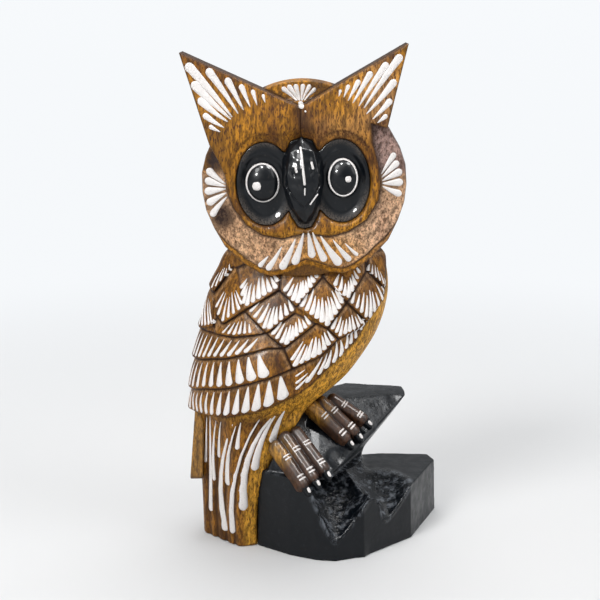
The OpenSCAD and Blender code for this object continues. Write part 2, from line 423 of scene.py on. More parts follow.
def newGroup(name, inputs, outputs):
    group = bpy.data.node_groups.new(name, "ShaderNodeTree")
    for label, kind, value in inputs:
        socket = group.interface.new_socket(label, in_out="INPUT", socket_type="NodeSocket" + kind)
        socket.default_value = (*value, 1) if kind == "Color" else value
    for label, kind in outputs:
        group.interface.new_socket(label, in_out="OUTPUT", socket_type="NodeSocket" + kind)
    wires = Wiring(group)
    return group, wires, group.nodes.new("NodeGroupInput"), group.nodes.new("NodeGroupOutput")


def stainedWoodGroup():
    # flecked wood under stain, with the tones laid over it: dark stain and painted shade, pale wood and a
    # painted highlight, golden and plum stain
    inputs = [("Wood", "Color", colours["feather"]), ("Deep", "Color", colours["featherDeep"]),
              ("Pale", "Color", colours["paleWoodAndHighlight"]), ("Gold", "Color", colours["belly"]),
              ("Plum", "Color", colours["plum"]), ("Flecks", "Float", 0.7), ("Mottle", "Float", 0.7),
              ("Dotting", "Float", 280.0)]
    group, wires, given, out = newGroup("stainedWood", inputs, [("Color", "Color"), ("Roughness", "Float"),
                                                               ("Height", "Float")])
    shape = wires.add("CombineXYZ", {0: 1000.0, 1: 1000.0, 2: given.outputs["Dotting"]}).outputs[0]
    fibre = wires.stretched(shape)
    cloud = wires.stretched((1000, 1000, 300))
    fleckNoise = wires.noise(fibre, 1.9, 3, 0.6)
    flecks = wires.spread(fleckNoise, 0.5, 0.62)
    fineNoise = wires.noise(fibre, 0.75, 4, 0.6)
    clouds = wires.spread(wires.noise(cloud, 0.085, 3, 0.6), 0.36, 0.68)
    tone = wires.add("Attribute", attribute_name="tone")
    parts = wires.add("SeparateColor", {"Color": tone.outputs["Color"]})
    mottled = wires.maths("MULTIPLY", clouds, given.outputs["Mottle"])
    color = wires.mix(mottled, given.outputs["Wood"], given.outputs["Deep"])
    color = wires.mix(parts.outputs[2], color, given.outputs["Gold"])
    color = wires.mix(parts.outputs[1], color, given.outputs["Pale"])
    color = wires.mix(tone.outputs["Alpha"], color, given.outputs["Plum"])
    grain = wires.spread(fineNoise, 0.33, 0.67, 0.32, 1.75)
    shade = wires.add("CombineColor", {0: grain, 1: grain, 2: grain}).outputs[0]
    color = wires.mix(0.85, color, shade, "MULTIPLY")
    marks = wires.maths("MULTIPLY", flecks, given.outputs["Flecks"])
    color = wires.mix(marks, color, (*colours["fleck"], 1))
    # darkening: dark stain, and painted shade in creases and under edges
    shadeAndStain = wires.maths("MULTIPLY", wires.spread(fineNoise, 0.3, 0.6, 0.75, 1.15), parts.outputs[0])
    color = wires.mix(shadeAndStain, color, (*colours["crease"], 1))
    rough = wires.spread(clouds, 0, 1, 0.42, 0.54)
    rough = wires.maths("ADD", rough, wires.maths("MULTIPLY", flecks, 0.16))
    height = wires.maths("SUBTRACT", fineNoise, wires.maths("MULTIPLY", flecks, 0.6))
    for label, value in (("Color", color), ("Roughness", rough), ("Height", height)):
        group.links.new(value, out.inputs[label])
    return group


def blackPaintGroup():
    # thick black paint with brush ripples, thinner and duller where wear shows; grey flecks in the carved
    # hollows are painted glints standing in for light caught on the gloss
    inputs = [("Paint", "Color", colours["black"]), ("WearAndGlint", "Color", colours["wornBrown"]),
              ("Wear", "Float", 0.5)]
    group, wires, given, out = newGroup("blackPaint", inputs, [("Color", "Color"), ("Roughness", "Float"),
                                                              ("Height", "Float")])
    place = wires.stretched((1000, 1000, 1000))
    ripples = wires.noise(place, 0.22, 3, 0.5)
    grit = wires.noise(place, 1.9, 3, 0.65)
    tone = wires.add("Attribute", attribute_name="tone")
    parts = wires.add("SeparateColor", {"Color": tone.outputs["Color"]})
    patches = wires.spread(wires.noise(place, 0.5, 4, 0.65), 0.56, 0.72, 0, 0.5)
    wearAndGlints = wires.maths("ADD", wires.maths("MULTIPLY", patches, given.outputs["Wear"]),
                       wires.maths("MULTIPLY", parts.outputs[1], wires.spread(grit, 0.35, 0.6)))
    # painted glints: grey flecks where the tone marks the carved hollows
    hollowGlints = wires.spread(wires.noise(wires.stretched((1000, 1000, 500)), 0.3, 5, 0.7), 0.47, 0.68)
    wearAndGlints = wires.maths("ADD", wearAndGlints, wires.maths("MULTIPLY", parts.outputs[2], hollowGlints))
    color = wires.mix(wearAndGlints, given.outputs["Paint"], given.outputs["WearAndGlint"])
    rough = wires.spread(ripples, 0.3, 0.7, 0.3, 0.46)
    rough = wires.maths("ADD", rough, wires.maths("MULTIPLY", wearAndGlints, 0.25))
    rough = wires.maths("SUBTRACT", rough, wires.maths("MULTIPLY", parts.outputs[2], 0.2))
    chiselDepth = wires.maths("MULTIPLY", parts.outputs[2], 9.0)
    chiselMarks = wires.maths("MULTIPLY", wires.noise(place, 0.6, 3, 0.6), chiselDepth)
    height = wires.maths("ADD", wires.maths("MULTIPLY", ripples, 2.6), wires.maths("MULTIPLY", grit, 0.3))
    height = wires.maths("ADD", height, chiselMarks)
    for label, value in (("Color", color), ("Roughness", rough), ("Height", height)):
        group.links.new(value, out.inputs[label])
    return group


stainedWood = stainedWoodGroup()
blackPaint = blackPaintGroup()


def groupMaterial(name, group, inputs, relief, specular, coat, coatRough=0.12):
    material = bpy.data.materials.new(name)
    material.use_nodes = True
    wires = Wiring(material.node_tree)
    shader = material.node_tree.nodes["Principled BSDF"]
    surface = wires.add("Group", node_tree=group)
    for label, value in inputs.items():
        surface.inputs[label].default_value = (*value, 1) if isinstance(value, tuple) else value
    bumps = wires.add("Bump", {"Height": surface.outputs["Height"], "Strength": relief, "Distance": 0.0002})
    material.node_tree.links.new(surface.outputs["Color"], shader.inputs["Base Color"])
    material.node_tree.links.new(surface.outputs["Roughness"], shader.inputs["Roughness"])
    material.node_tree.links.new(bumps.outputs["Normal"], shader.inputs["Normal"])
    shader.inputs["Specular IOR Level"].default_value = specular
    shader.inputs["Coat Weight"].default_value = coat
    shader.inputs["Coat Roughness"].default_value = coatRough
    return material


featherWood = groupMaterial("featherWood", stainedWood, {
    "Wood": colours["feather"], "Deep": colours["featherDeep"], "Pale": colours["paleWoodAndHighlight"],
    "Gold": colours["belly"], "Flecks": 0.8, "Mottle": 0.85}, relief=0.35, specular=0.13, coat=0.07)
browWood = groupMaterial("browWood", stainedWood, {
    "Wood": colours["brow"], "Deep": colours["browDeep"], "Flecks": 0.9, "Mottle": 0.85,
    "Dotting": 250.0}, relief=0.35, specular=0.13, coat=0.07)
faceWood = groupMaterial("faceWood", stainedWood, {
    "Wood": colours["cheek"], "Deep": colours["cheekDeep"], "Gold": colours["brow"],
    "Flecks": 0.7, "Mottle": 0.6, "Dotting": 650.0}, relief=0.35, specular=0.15, coat=0.06)
darkWood = groupMaterial("darkWood", stainedWood, {
    "Wood": colours["toe"], "Deep": colours["toeDeep"], "Gold": colours["belly"],
    "Flecks": 0.5, "Mottle": 0.8}, relief=0.35, specular=0.3, coat=0.25)
dowelWood = groupMaterial("dowelWood", stainedWood, {
    "Wood": colours["dowel"], "Deep": colours["dowelDeep"],
    "Flecks": 0.3, "Mottle": 0.5}, relief=0.3, specular=0.3, coat=0)
stumpPaint = groupMaterial("stumpPaint", blackPaint, {
    "Wear": 0.1, "WearAndGlint": colours["wearAndGlintGrey"]}, relief=0.45, specular=0.18, coat=0.16, coatRough=0.16)
glossBlack = groupMaterial("glossBlack", blackPaint, {
    "Wear": 0.25, "WearAndGlint": colours["wornBrown"]}, relief=0.3, specular=0.12, coat=0.32, coatRough=0.05)


def whitePaintMaterial():
    material = bpy.data.materials.new("whitePaint")
    material.use_nodes = True
    wires = Wiring(material.node_tree)
    shader = material.node_tree.nodes["Principled BSDF"]
    place = wires.stretched((1000, 1000, 1000))
    grit = wires.noise(place, 1.3, 5, 0.7)
    thin = wires.spread(grit, 0.54, 0.72, 0, 0.8)
    color = wires.mix(thin, (*colours["paint"], 1), (*colours["paintThin"], 1))
    relief = wires.add("Bump", {"Height": grit, "Strength": 0.35, "Distance": 0.0002})
    material.node_tree.links.new(color, shader.inputs["Base Color"])
    material.node_tree.links.new(relief.outputs["Normal"], shader.inputs["Normal"])
    shader.inputs["Roughness"].default_value = 0.5
    return material


whitePaint = whitePaintMaterial()
print("materials mixed")


# ---------- body ----------
# all figures in mm; each station is (height, distance)
body = {
    "back": [(0, -47), (24, -47.6), (57, -50.2), (70, -49.3), (85, -46.6), (100, -42.6), (110, -39.4),
             (118, -36.8), (121, -35.4), (122, -33.8)],
    "breast": [(0, -24), (12, -24.4), (24, -23), (36, -18.5), (48, -11), (57, -3), (63, 5.6), (70, 13.4),
               (78, 19), (86, 24), (95, 27.4), (104, 29), (111, 28.6), (118, 27.2), (121, 26), (122, 24.6)],
    "halfDepth": [(57, 24), (66, 26), (80, 27), (95, 24.4), (104, 21.4), (111, 18.6), (114, 17.8),
                  (121, 16.8), (122, 16)],
    "seam": 57,
    "top": 122,
    "tailEdge": 1.8,
    "tailGrooves": (0.12, 0.27, 0.43, 0.6),
    "grooveDepth": 0.8,
    "cell": 0.6,
}
backCurve = curveThrough(body["back"], 2.5)
breastCurve = curveThrough(body["breast"], 2.5)
halfCurve = curveThrough(body["halfDepth"], 3)


def torsoField(x, y, z):
    back, breast, half = (along(curve, z) for curve in (backCurve, breastCurve, halfCurve))
    middle, reach = (back + breast) / 2, (breast - back) / 2
    q = np.sqrt(((x - middle) / reach) ** 2 + (y / half) ** 2) + 1e-6
    slope = np.sqrt(((x - middle) / reach ** 2) ** 2 + (y / half ** 2) ** 2) / q + 1e-6
    return (q - 1) / slope


def tailField(x, y, z):
    low, high = along(backCurve, z), along(breastCurve, z)
    side = np.abs(y)
    widest = 18 + 5 * z / 57
    lengthA = np.hypot(widest - 3, 15)
    faceA = (-(widest - 3) * (x - low) + 15 * (side - 3)) / lengthA
    run = np.maximum(high - low - 15, 1)
    lengthB = np.hypot(run, 16 - widest)
    faceB = ((widest - 16) * (x - low - 15) + run * (side - widest)) / lengthB
    edge = body["tailEdge"]
    field = softMax(softMax(faceA, faceB, edge), softMax(low - x, x - high, edge), edge)
    flow = (x - low) / (high - low)
    groove = sum(bump((flow - at) * (high - low), 0.9) for at in body["tailGrooves"])
    return field + body["grooveDepth"] * groove * softStep(2, 6, side) * softStep(59, 52, z)


def bodyField(x, y, z):
    return softMax(z - body["top"], softMax(-z, bodyCore(x, y, z), 0.6), 0.6)


def bodyCore(x, y, z):
    blend = softStep(50, 63, z)
    return torsoField(x, y, z) * blend + tailField(x, y, z) * (1 - blend)


def cutAt(piece, height, name):
    # two closed pieces from one, parted at a level: piece keeps what is above, the new one what is below
    lower = piece.copy()
    lower.data = piece.data.copy()
    lower.name = lower.data.name = name
    bpy.context.collection.objects.link(lower)
    for part, above in ((piece, True), (lower, False)):
        work = bmesh.new()
        work.from_mesh(part.data)
        everything = work.verts[:] + work.edges[:] + work.faces[:]
        bmesh.ops.bisect_plane(work, geom=everything, plane_co=(0, 0, height * mm), plane_no=(0, 0, 1),
                               clear_inner=above, clear_outer=not above)
        rim = [edge for edge in work.edges if edge.is_boundary]
        caps = bmesh.ops.holes_fill(work, edges=rim, sides=0)["faces"]
        for cap in caps:
            cap.smooth = False
            for edge in cap.edges:
                edge.smooth = False
        bmesh.ops.triangulate(work, faces=caps)
        work.to_mesh(part.data)
        work.free()
    return lower


torso = carveObject("torsoCarving", bodyField, (-55, -31, -3), (33, 31, 125), body["cell"])
tail = cutAt(torso, body["seam"], "tailCarving")
print("body and tail carved")


# ---------- wings ----------
wing = {
    "outline": [(27.8, 122), (27.8, 115), (26.1, 102.4), (19.5, 94.6), (14.8, 87.1), (10.5, 83.5),
                (3.1, 76.4), (-3.2, 70.5), (-9.4, 66.3), (-16, 63.2), (-22.5, 60.4), (-28.3, 59),
                (-33.8, 57.8), (-44.5, 55.8), (-56, 54.4), (-56, 122)],
    "base": 1.0,
    "low": 0.15,
    "rise": 1.7,
    "top": 121,
    "cell": 0.45,
}
# each feather: its upper edge, then its lower edge, both from the back to the breast
rowOne = [(-56, 90), (-47, 89.2), (-40.2, 89.7), (-32.8, 89.5), (-19.8, 92.1), (-12.9, 86.7)]
rowTwo = [(-56, 77), (-49.5, 77), (-42.2, 79.7), (-35.6, 81.1), (-28, 83.6), (-19.1, 86.5),
          (-12.9, 86.7)]
rowThree = [(-56, 63.5), (-52.1, 64), (-44.4, 67.4), (-35.7, 69.3), (-28.1, 71.8), (-19.1, 74.7),
            (-9.4, 78.8)]
rowFour = [(-56, 54), (-44.5, 56), (-33.8, 58), (-28.3, 59.3), (-22.5, 60.7), (-16.5, 63.6),
           (-9.2, 67.5)]
feathers = {
    "shoulderBack": ([(-50, 119), (-34.7, 121)], [(-52, 107), (-45, 106.4), (-41, 104.5), (-33, 115.5)]),
    "shoulderA": ([(-31.4, 115.5), (-24, 119), (-14.4, 116)],
                  [(-31.4, 115.5), (-28.4, 100.1), (-14.8, 108.2), (-14.4, 116)]),
    "shoulderB": ([(-14.8, 108.2), (-14, 118), (2, 118), (2.2, 113.1)],
                  [(-14.8, 108.2), (-8.2, 102.2), (2.2, 113.1)]),
    "shoulderC": ([(2.2, 113.1), (3, 119), (19, 120), (19.5, 114.6)],
                  [(2.2, 113.1), (11.5, 103.4), (19.5, 114.6)]),
    "shoulderD": ([(19.5, 114.6), (20, 121), (32, 121), (31, 106)],
                  [(19.5, 114.6), (27.7, 105.9), (31, 106)]),
    "spine": ([(-56, 107), (-45, 106.4), (-41, 104.5)], [(-56, 90), (-47, 89.2), (-41, 92), (-41, 104.5)]),
    "middleA": ([(-41, 104.5), (-33, 115.5), (-31.4, 115.5)],
                [(-41, 104.5), (-39.6, 96.5), (-36.9, 93.9), (-28.4, 100.1), (-31.4, 115.5)]),
    "middleB": ([(-28.4, 100), (-14.8, 108.2), (-8.2, 102.2)],
                [(-28.4, 100), (-19.8, 92.1), (-8.8, 100), (-8.2, 102.2)]),
    "middleC": ([(-8.2, 102.2), (2.2, 113.1), (11.5, 103.4)], [(-8.2, 102.2), (3.9, 93.9), (11.5, 103.4)]),
    "middleD": ([(11.5, 103.4), (19.5, 114.6), (27.7, 105.9), (31, 106)],
                [(11.5, 103.4), (19.9, 94.5), (31, 106)]),
    "lowA": ([(-41, 92), (-39.6, 96.5), (-36.9, 93.9), (-28.4, 99.8), (-19.8, 92.1)],
             [(-41, 92), (-40.2, 89.7), (-32.8, 89.5), (-19.8, 92.1)]),
    "lowB": ([(-19.8, 92.1), (-8.8, 100), (-0.5, 96)], [(-19.8, 92.1), (-12.9, 86.7), (-0.5, 96)]),
    "lowC": ([(3.9, 93.9), (11.5, 103.4), (19.9, 94.5)],
             [(3.9, 93.9), (8.4, 89.5), (16, 92), (19.9, 94.5)]),
    "lowD": ([(-12.9, 86.7), (-0.5, 96), (3.9, 93.9), (8.4, 89.5)],
             [(-12.9, 86.7), (-9.4, 78.8), (1, 83), (8.4, 89.5)]),
    "belly": ([(-9.4, 78.8), (1, 83), (8.4, 89.5), (16, 92), (19.9, 94.5), (31, 106)],
              [(-9.4, 78.8), (-9.2, 67.5), (-3, 68), (6, 74), (16, 85), (25, 97), (31, 106)]),
    "rowA": (rowOne, rowTwo),
    "rowB": (rowTwo + [(-9.4, 78.8)], rowThree),
    "rowC": (rowThree, rowFour),
}
plume = Chart((-57, 50), (33, 124))


def plumage(chart):
    height = np.full(chart.u.shape, 0.6)
    dark = np.zeros(chart.u.shape)
    pale = np.zeros(chart.u.shape)
    for upper, lower in feathers.values():
        inside = insideOutline(chart.u, chart.v, upper + lower[::-1])
        u, v = chart.u[inside], chart.v[inside]
        fromTop = lineDistance(u, v, upper)
        fromEnd = lineDistance(u, v, lower)
        share = fromTop / (fromTop + fromEnd + 1e-6)
        height[inside] = wing["low"] + wing["rise"] * share ** 0.9 - 0.4 * bump(fromTop, 0.4)
        # painted shade: a dark line in the crease at each feather's upper edge, softer shade below it, and
        # a line at its lower edge
        dark[inside] = bump(fromTop, 0.45) + 0.5 * bump(fromTop, 1.6) + 0.75 * bump(fromEnd, 0.3)
        # painted highlight: a pale band along each feather's rounded top edge
        pale[inside] = 0.6 * softStep(0.6, 1.0, fromTop) * softStep(2.2, 1.4, fromTop)
    return chart.blurred(height), chart.blurred(dark), chart.blurred(pale)


plumeHeight, plumeCreaseShade, plumeBevelHighlight = plumage(plume)
edgeChart = outlineDistance(plume.u, plume.v, wing["outline"])


def wingField(x, y, z):
    core = bodyCore(x, y, z)
    thick = wing["base"] + plume.read(plumeHeight, x, z)
    thick = thick * (1 - 0.45 * softStep(107, 115, z))
    shape = softMax(core - thick, plume.read(edgeChart, x, z), 0.5)
    return np.maximum(np.maximum(shape, 0.08 - core), np.maximum(y + 0.05, z - wing["top"]))


def carveWing():
    points, quads = carveMesh(wingField, (-56, -32, 52), (34, 2, 123), wing["cell"])
    x, z = points[:, 0], points[:, 2]
    core = bodyCore(*points.T)
    dark = plume.read(plumeCreaseShade, x, z)
    pale = plume.read(plumeBevelHighlight, x, z)
    rim = softStep(-0.8, -0.1, plume.read(edgeChart, x, z))
    inner = core < 0.5
    # painted shade on the faces that lie against the body; darker along the outline
    dark = np.where(inner, 1, np.maximum(dark, 0.7 * rim))
    right = meshObject("rightWingCarving", points, quads)
    left = meshObject("leftWingCarving", points * (1, -1, 1), quads[:, ::-1])
    for side in (right, left):
        paintTone(side, dark, pale, 0)
    return right, left


rightWing, leftWing = carveWing()
print("wings carved")


# ---------- rear tail feathers ----------
rearFeathers = {
    "corners": [(-52, 24.6), (-46.8, 25), (-45.5, 57.2), (-49.3, 56.8)],
    "half": 8,
    "gaps": (-2.7, 2.7),
    "cell": 0.4,
}
slabChart = Chart((-56, 20), (-44, 60))
slabEdge = outlineDistance(slabChart.u, slabChart.v, rearFeathers["corners"])


def rearField(x, y, z):
    lobe = sum(bump(y - gap, 0.5) for gap in rearFeathers["gaps"])
    drop = 1.6 * np.abs(np.sin(math.pi * (y + rearFeathers["half"]) / 5.35))
    flat = slabChart.read(slabEdge, x, z) + 0.7 * lobe
    field = softMax(softMax(flat, np.abs(y) - rearFeathers["half"], 0.6), 26.4 - drop - z, 0.6)
    return np.maximum(field, 0.05 - bodyCore(x, y, z))


rearTail = carveObject("rearTailCarving", rearField, (-55, -10, 22), (-45, 10, 59), rearFeathers["cell"])
print("rear feathers carved")


# ---------- head ----------
# the face is drawn flat in (across, up) from the middle of the face disc, then leaned a little to one side
head = {
    "across": -5.4,
    "height": 148,
    "lean": 2.5,
    "disc": [(0, -29.8), (4, -31.2), (9, -33.2), (13.5, -34), (18, -32.6), (24.5, -28.2), (31, -21.5),
             (34.8, -14), (37.4, -7), (38.4, 0), (38.2, 7.4), (36.3, 14), (32.5, 21.5), (26, 28.5),
             (16, 33.5)],
    "rightBrow": [(0, 31.3), (41.2, 52.8), (32.3, 21.8), (26.2, 24), (26.8, 16), (28.6, 8), (29.4, 1),
                  (28.4, -5.3), (23.5, -12.8), (16.5, -17), (9, -18.8), (0, -17)],
    "leftBrow": [(0, 31.3), (-43.8, 53.2), (-34.4, 18.4), (-31.2, 12), (-29.2, 6), (-28.8, 0),
                 (-27, -6), (-22.4, -12.8), (-16.5, -17), (-9, -18.8), (0, -17)],
    "eyeHole": (14.4, 2.7, 10.9, 15.8),
    "beakHole": [(0, 19.4), (4, 18.4), (7.6, 11), (7, -1), (5, -10), (2.4, -14.4), (0, -15)],
    "rimFront": 22.2,
    "rimBack": 20.3,
    "cheekRise": 2.4,
    "skullWide": 37,
    "skullTall": 37.4,
    "skullDeep": 31.5,
    "cell": 0.55,
    "discBack": 16,
    "skullFront": 20.4,
    "skullFlat": 2.6,
    "browBack": 14,
    "browCell": 0.45,
}
lean = math.radians(head["lean"])


def facePlane(x, z):
    x, z = x - head["across"], z - head["height"]
    return x * math.cos(lean) + z * math.sin(lean), z * math.cos(lean) - x * math.sin(lean)


def facePlace(u, w):
    return (head["across"] + u * math.cos(lean) - w * math.sin(lean),
            head["height"] + u * math.sin(lean) + w * math.cos(lean))


face = Chart((-46, -40), (46, 58))
discPoints = head["disc"] + [(-u, w) for u, w in head["disc"][:0:-1]]
faceU = face.u * np.where(face.u > 0, 0.975, 0.995)
rimChart = face.blurred(outlineDistance(faceU, face.v, discPoints), 3)
faceSide = np.abs(face.u)
eyeU, eyeW, eyeWide, eyeTall = head["eyeHole"]
eyeRatio = np.hypot((faceSide - eyeU) / eyeWide, (face.v - eyeW) / eyeTall) + 1e-6
eyeSlope = np.hypot((faceSide - eyeU) / eyeWide ** 2, (face.v - eyeW) / eyeTall ** 2) + 1e-6
eyeChart = (eyeRatio - 1) * eyeRatio / eyeSlope
beakChart = outlineDistance(faceSide, face.v, head["beakHole"] + [(-3, -15), (-3, 19.4)])
maskChart = face.blurred(softMin(eyeChart, beakChart, 1.5), 2)
browChart = np.where(face.u > 0, outlineDistance(face.u, face.v, head["rightBrow"] + [(-6, -16), (-6, 28)]),
                     outlineDistance(face.u, face.v, head["leftBrow"] + [(6, -16), (6, 28)]))


def headFront(u, w):
    inward = -face.read(rimChart, u, w)
    band = 0.5 + 1.9 * softStep(-14, -24, w)
    slope = head["rimBack"] + (head["rimFront"] - head["rimBack"]) * softStep(-0.2, 1, inward / band)
    front = slope + head["cheekRise"] * softStep(0, 13, inward - band)
    inMask = softStep(1.5, 0.5, face.read(maskChart, u, w))
    return front * (1 - inMask) + 22.2 * inMask


def headField(x, y, z):
    u, w = facePlane(x, z)
    disc = np.maximum(softMax(face.read(rimChart, u, w), -y - headFront(u, w), 0.4), y + head["discBack"])
    power = head["skullFlat"]
    flat = ((u / head["skullWide"]) ** 2 + ((w - 3) / head["skullTall"]) ** 2) ** (power / 2)
    deep = (np.maximum(y + 8, 0) / head["skullDeep"]) ** power
    skull = ((flat + deep + 1e-9) ** (1 / power) - 1) * 34
    skull = np.maximum(skull, -y - head["skullFront"])
    field = softMin(disc, skull, 0.8)
    under = np.maximum(y + head["discBack"], 0.06 - np.minimum(wingField(x, y, z), torsoField(x, y, z)))
    return np.maximum(field, np.minimum(body["top"] + 0.02 - z, under))


def browFront(u, w):
    side = np.abs(u)
    mask = face.read(maskChart, u, w)
    outer = -face.read(browChart, u, w)
    inner = np.maximum(mask, 0)
    upper = 28 - 0.9 * softStep(24, 40, w) - 2.4 * bump(inner, 3.2)
    across = inner / (inner + np.maximum(outer, 0) + 0.01)
    lower = 24.7 + 5.6 * across * (1 - across)
    front = lower + (upper - lower) * softStep(-2, 12, w)
    return front - 1.3 * bump(side, 2.4) * softStep(14, 20, w)


def browField(sign):
    # one brow: the part of the raised mask that lies on that side of the middle
    def field(x, y, z):
        u, w = facePlane(x, z)
        flat = np.maximum(face.read(browChart, u, w), 0.12 - face.read(maskChart, u, w))
        front = softMax(flat, -y - browFront(u, w), 1.1)
        behind = np.maximum(front, y + head["browBack"])
        return np.maximum(behind, np.maximum(0.04 - headField(x, y, z), 0.01 - sign * u))
    return field


headCarving = carveObject("headCarving", headField, (-48, -27, 110), (37, 27, 192), head["cell"])
rightBrow = carveObject("rightBrowCarving", browField(1), (-9, -31, 125), (40, -12, 206), head["browCell"])
leftBrow = carveObject("leftBrowCarving", browField(-1), (-54, -31, 125), (2, -12, 206), head["browCell"])
print("head and brows carved")


# ---------- mask, eyes and beak ----------
eyes = {
    "across": 15.2,
    "up": 3.6,
    "wide": 6.6,
    "tall": 7.7,
    "back": 23.8,
    "front": 28.2,
    "lidWide": 8.8,
    "lidTall": 10.6,
    "lidRise": 0.55,
}
beak = {
    "corners": [(0, 19.9, 25.2), (0, 16, 28.6), (0, 9, 31), (0, 0, 31.8), (0, -6, 31), (0, -12.7, 26.2),
                (4.6, 17, 25), (7.6, 12, 25), (8, 3, 25.2), (6.4, -5, 25.4), (2.4, -12.2, 24.6),
                (4.4, 14.6, 28), (5.8, 7, 29.4), (5.4, -1, 29.6), (3.4, -7.5, 28.8)],
    "root": 22.6,
    "cell": 0.35,
}


def hullPlanes(corners):
    # the flat faces round a set of corners, as outward normals and distances
    work = bmesh.new()
    for corner in corners:
        work.verts.new(corner)
    shell = bmesh.ops.convex_hull(work, input=work.verts[:])
    middle = sum((vert.co for vert in work.verts), Vector()) / len(work.verts)
    planes = []
    for part in shell["geom"]:
        if isinstance(part, bmesh.types.BMFace):
            part.normal_update()
            normal = part.normal.copy()
            if normal.dot(part.verts[0].co - middle) < 0:
                normal = -normal
            if normal.length > 0.5:
                planes.append((*normal, normal.dot(part.verts[0].co)))
    work.free()
    return planes


def hullField(planes, x, y, z):
    field = np.full(np.broadcast(x, y, z).shape, -1e3)
    for a, b, c, reach in planes:
        field = np.maximum(field, a * x + b * y + c * z - reach)
    return field


def maskFront(u, w):
    side = np.abs(u)
    deep = -face.read(maskChart, u, w)
    lid = np.hypot((side - eyes["across"]) / eyes["lidWide"], (w - eyes["up"]) / eyes["lidTall"])
    front = 25 - 1.1 * softStep(0, 4, deep)
    return front + eyes["lidRise"] * bump((lid - 1) * 9, 0.9) * softStep(-3, 3, w - eyes["up"] + 2)


def maskField(x, y, z):
    u, w = facePlane(x, z)
    flat = face.read(maskChart, u, w)
    shape = softMax(flat, -y - maskFront(u, w), 0.5)
    return np.maximum(np.maximum(shape, y + 21.5), 0.04 - headField(x, y, z))


beakCorners = [(sign * across, up, front) for across, up, front in beak["corners"] for sign in (-1, 1)]
beakRoot = [(u * 0.9, w * 0.95, beak["root"]) for u, w, front in beakCorners if abs(u) > 2]
beakPlanes = hullPlanes(beakCorners + beakRoot)


def beakField(x, y, z):
    u, w = facePlane(x, z)
    lump = hullField(beakPlanes, u, w, -y)
    mouth = 0.5 * bump(lineDistance(np.abs(u), w, [(0, -6.2), (3.4, -2.6), (6, 1.5)]), 0.35)
    nostril = 0.45 * bump(np.hypot((np.abs(u) - 3.3) / 0.8, (w - 7) / 1.7), 0.8)
    ripple = 0.1 * np.sin(1.3 * u + 0.7 * w) * np.sin(0.9 * w - 0.8 * u)
    return lump + mouth + nostril + ripple


maskCarving = carveObject("maskCarving", maskField, (-33, -28, 129), (24, -20, 170), 0.4)
beakCarving = carveObject("beakCarving", beakField, (-15, -34, 133), (5, -21, 170), beak["cell"])


def eyeDome(sign):
    # a domed eyeball: rings from the middle of the front to a little behind the mask
    points, faces = [], []
    rings, count = 14, 48
    for ring in range(rings):
        t = ring / (rings - 1) * 0.56 * math.pi
        for step in range(count):
            turn = 2 * math.pi * step / count
            u = sign * eyes["across"] + eyes["wide"] * math.sin(t) * math.cos(turn)
            w = eyes["up"] + eyes["tall"] * math.sin(t) * math.sin(turn)
            x, z = facePlace(u, w)
            points.append((x, -eyes["back"] - (eyes["front"] - eyes["back"]) * math.cos(t), z))
    for ring in range(rings - 1):
        for step in range(count):
            a, b = ring * count + step, ring * count + (step + 1) % count
            faces.append((a, b, b + count, a + count) if ring else (b + count, a + count, a))
    faces.append(tuple(range((rings - 1) * count, rings * count)))
    points = [points[0]] * count + points[count:]
    return points, faces


def makeEye(name, sign):
    points, faces = eyeDome(sign)
    eye = meshObject(name, points, faces)
    closeMesh(eye, 1e-7)
    return eye


rightEye = makeEye("rightEyeDome", 1)
leftEye = makeEye("leftEyeDome", -1)
print("mask, eyes and beak made")


# ---------- stump ----------
stump = {
    "footprint": [(4, -24), (18.8, -27.5), (39.5, -8), (52.4, 24), (50, 31), (30, 32.2), (2, 27),
                  (-10, 14), (-10, -14)],
    "shelf": 23,
    "riser": [(-24, -16, 0), (-10.7, -26, 0), (0, -31, 0), (7.6, -32, 0), (18.8, -27.5, 0), (21, 0, 0),
              (20, 28, 0), (0, 31, 0), (-14, 28, 0), (-24, 18, 0), (-23.6, -15.9, 33),
              (-10.6, -25.8, 32.5), (-2, -30, 29), (4.5, -30.2, 28), (14, -18.5, 31), (18, -8, 31),
              (19.7, 10, 32.5), (19.7, 25, 32), (-4, 28, 33), (-21, 18, 33)],
    "perch": [(0.8, -26.5, 32.4), (9.5, -17, 35.8), (18, -9, 40.5), (24.4, -1, 44.1), (31, 7, 49.8),
              (37.6, 14, 54.8), (38, 16, 55.4), (37, 23, 56.2), (13, 25, 57), (-4, 10, 57),
              (-4, -5, 56.5), (1, -2, 57.8), (-16.5, -21.5, 41), (-21, -17, 30), (-21, 18, 30),
              (-4, 28, 33), (19.7, 25, 32), (19.7, 10, 32.5), (33.8, 22, 46), (4, -23, 31)],
    "scoops": [((7.8, -33.6, 7), (9, -20, 32), 0.62), ((29.4, -20.6, 11), (27.8, -9, 29), 0.7)],
    "scoopTop": 31,
    "ledge": [(-4, -11.3, 49.4), (10.8, -12.5, 41.6), (11, -6, 47.6), (-3, -4, 55.2)],
    "ledgeDepth": 2.2,
    "facing": (0.33, -0.68, 0.655),
    "facets": [((27, 5, 53), 26, 1.3), ((19, -3, 48.5), 20, 1.1), ((33, 11, 55), 14, 1.0),
               ((9, -17, 37), 12, 1.0), ((4, -22, 35), 9, 0.7)],
    "split": 32,
    "edge": 0.9,
    "cell": 0.55,
}
rockPlanes = hullPlanes([(*point, 0) for point in stump["footprint"]]
                        + [(x * 0.985, y * 0.985, stump["shelf"]) for x, y in stump["footprint"]])
riserPlanes = hullPlanes(stump["riser"])
perchPlanes = hullPlanes(stump["perch"])


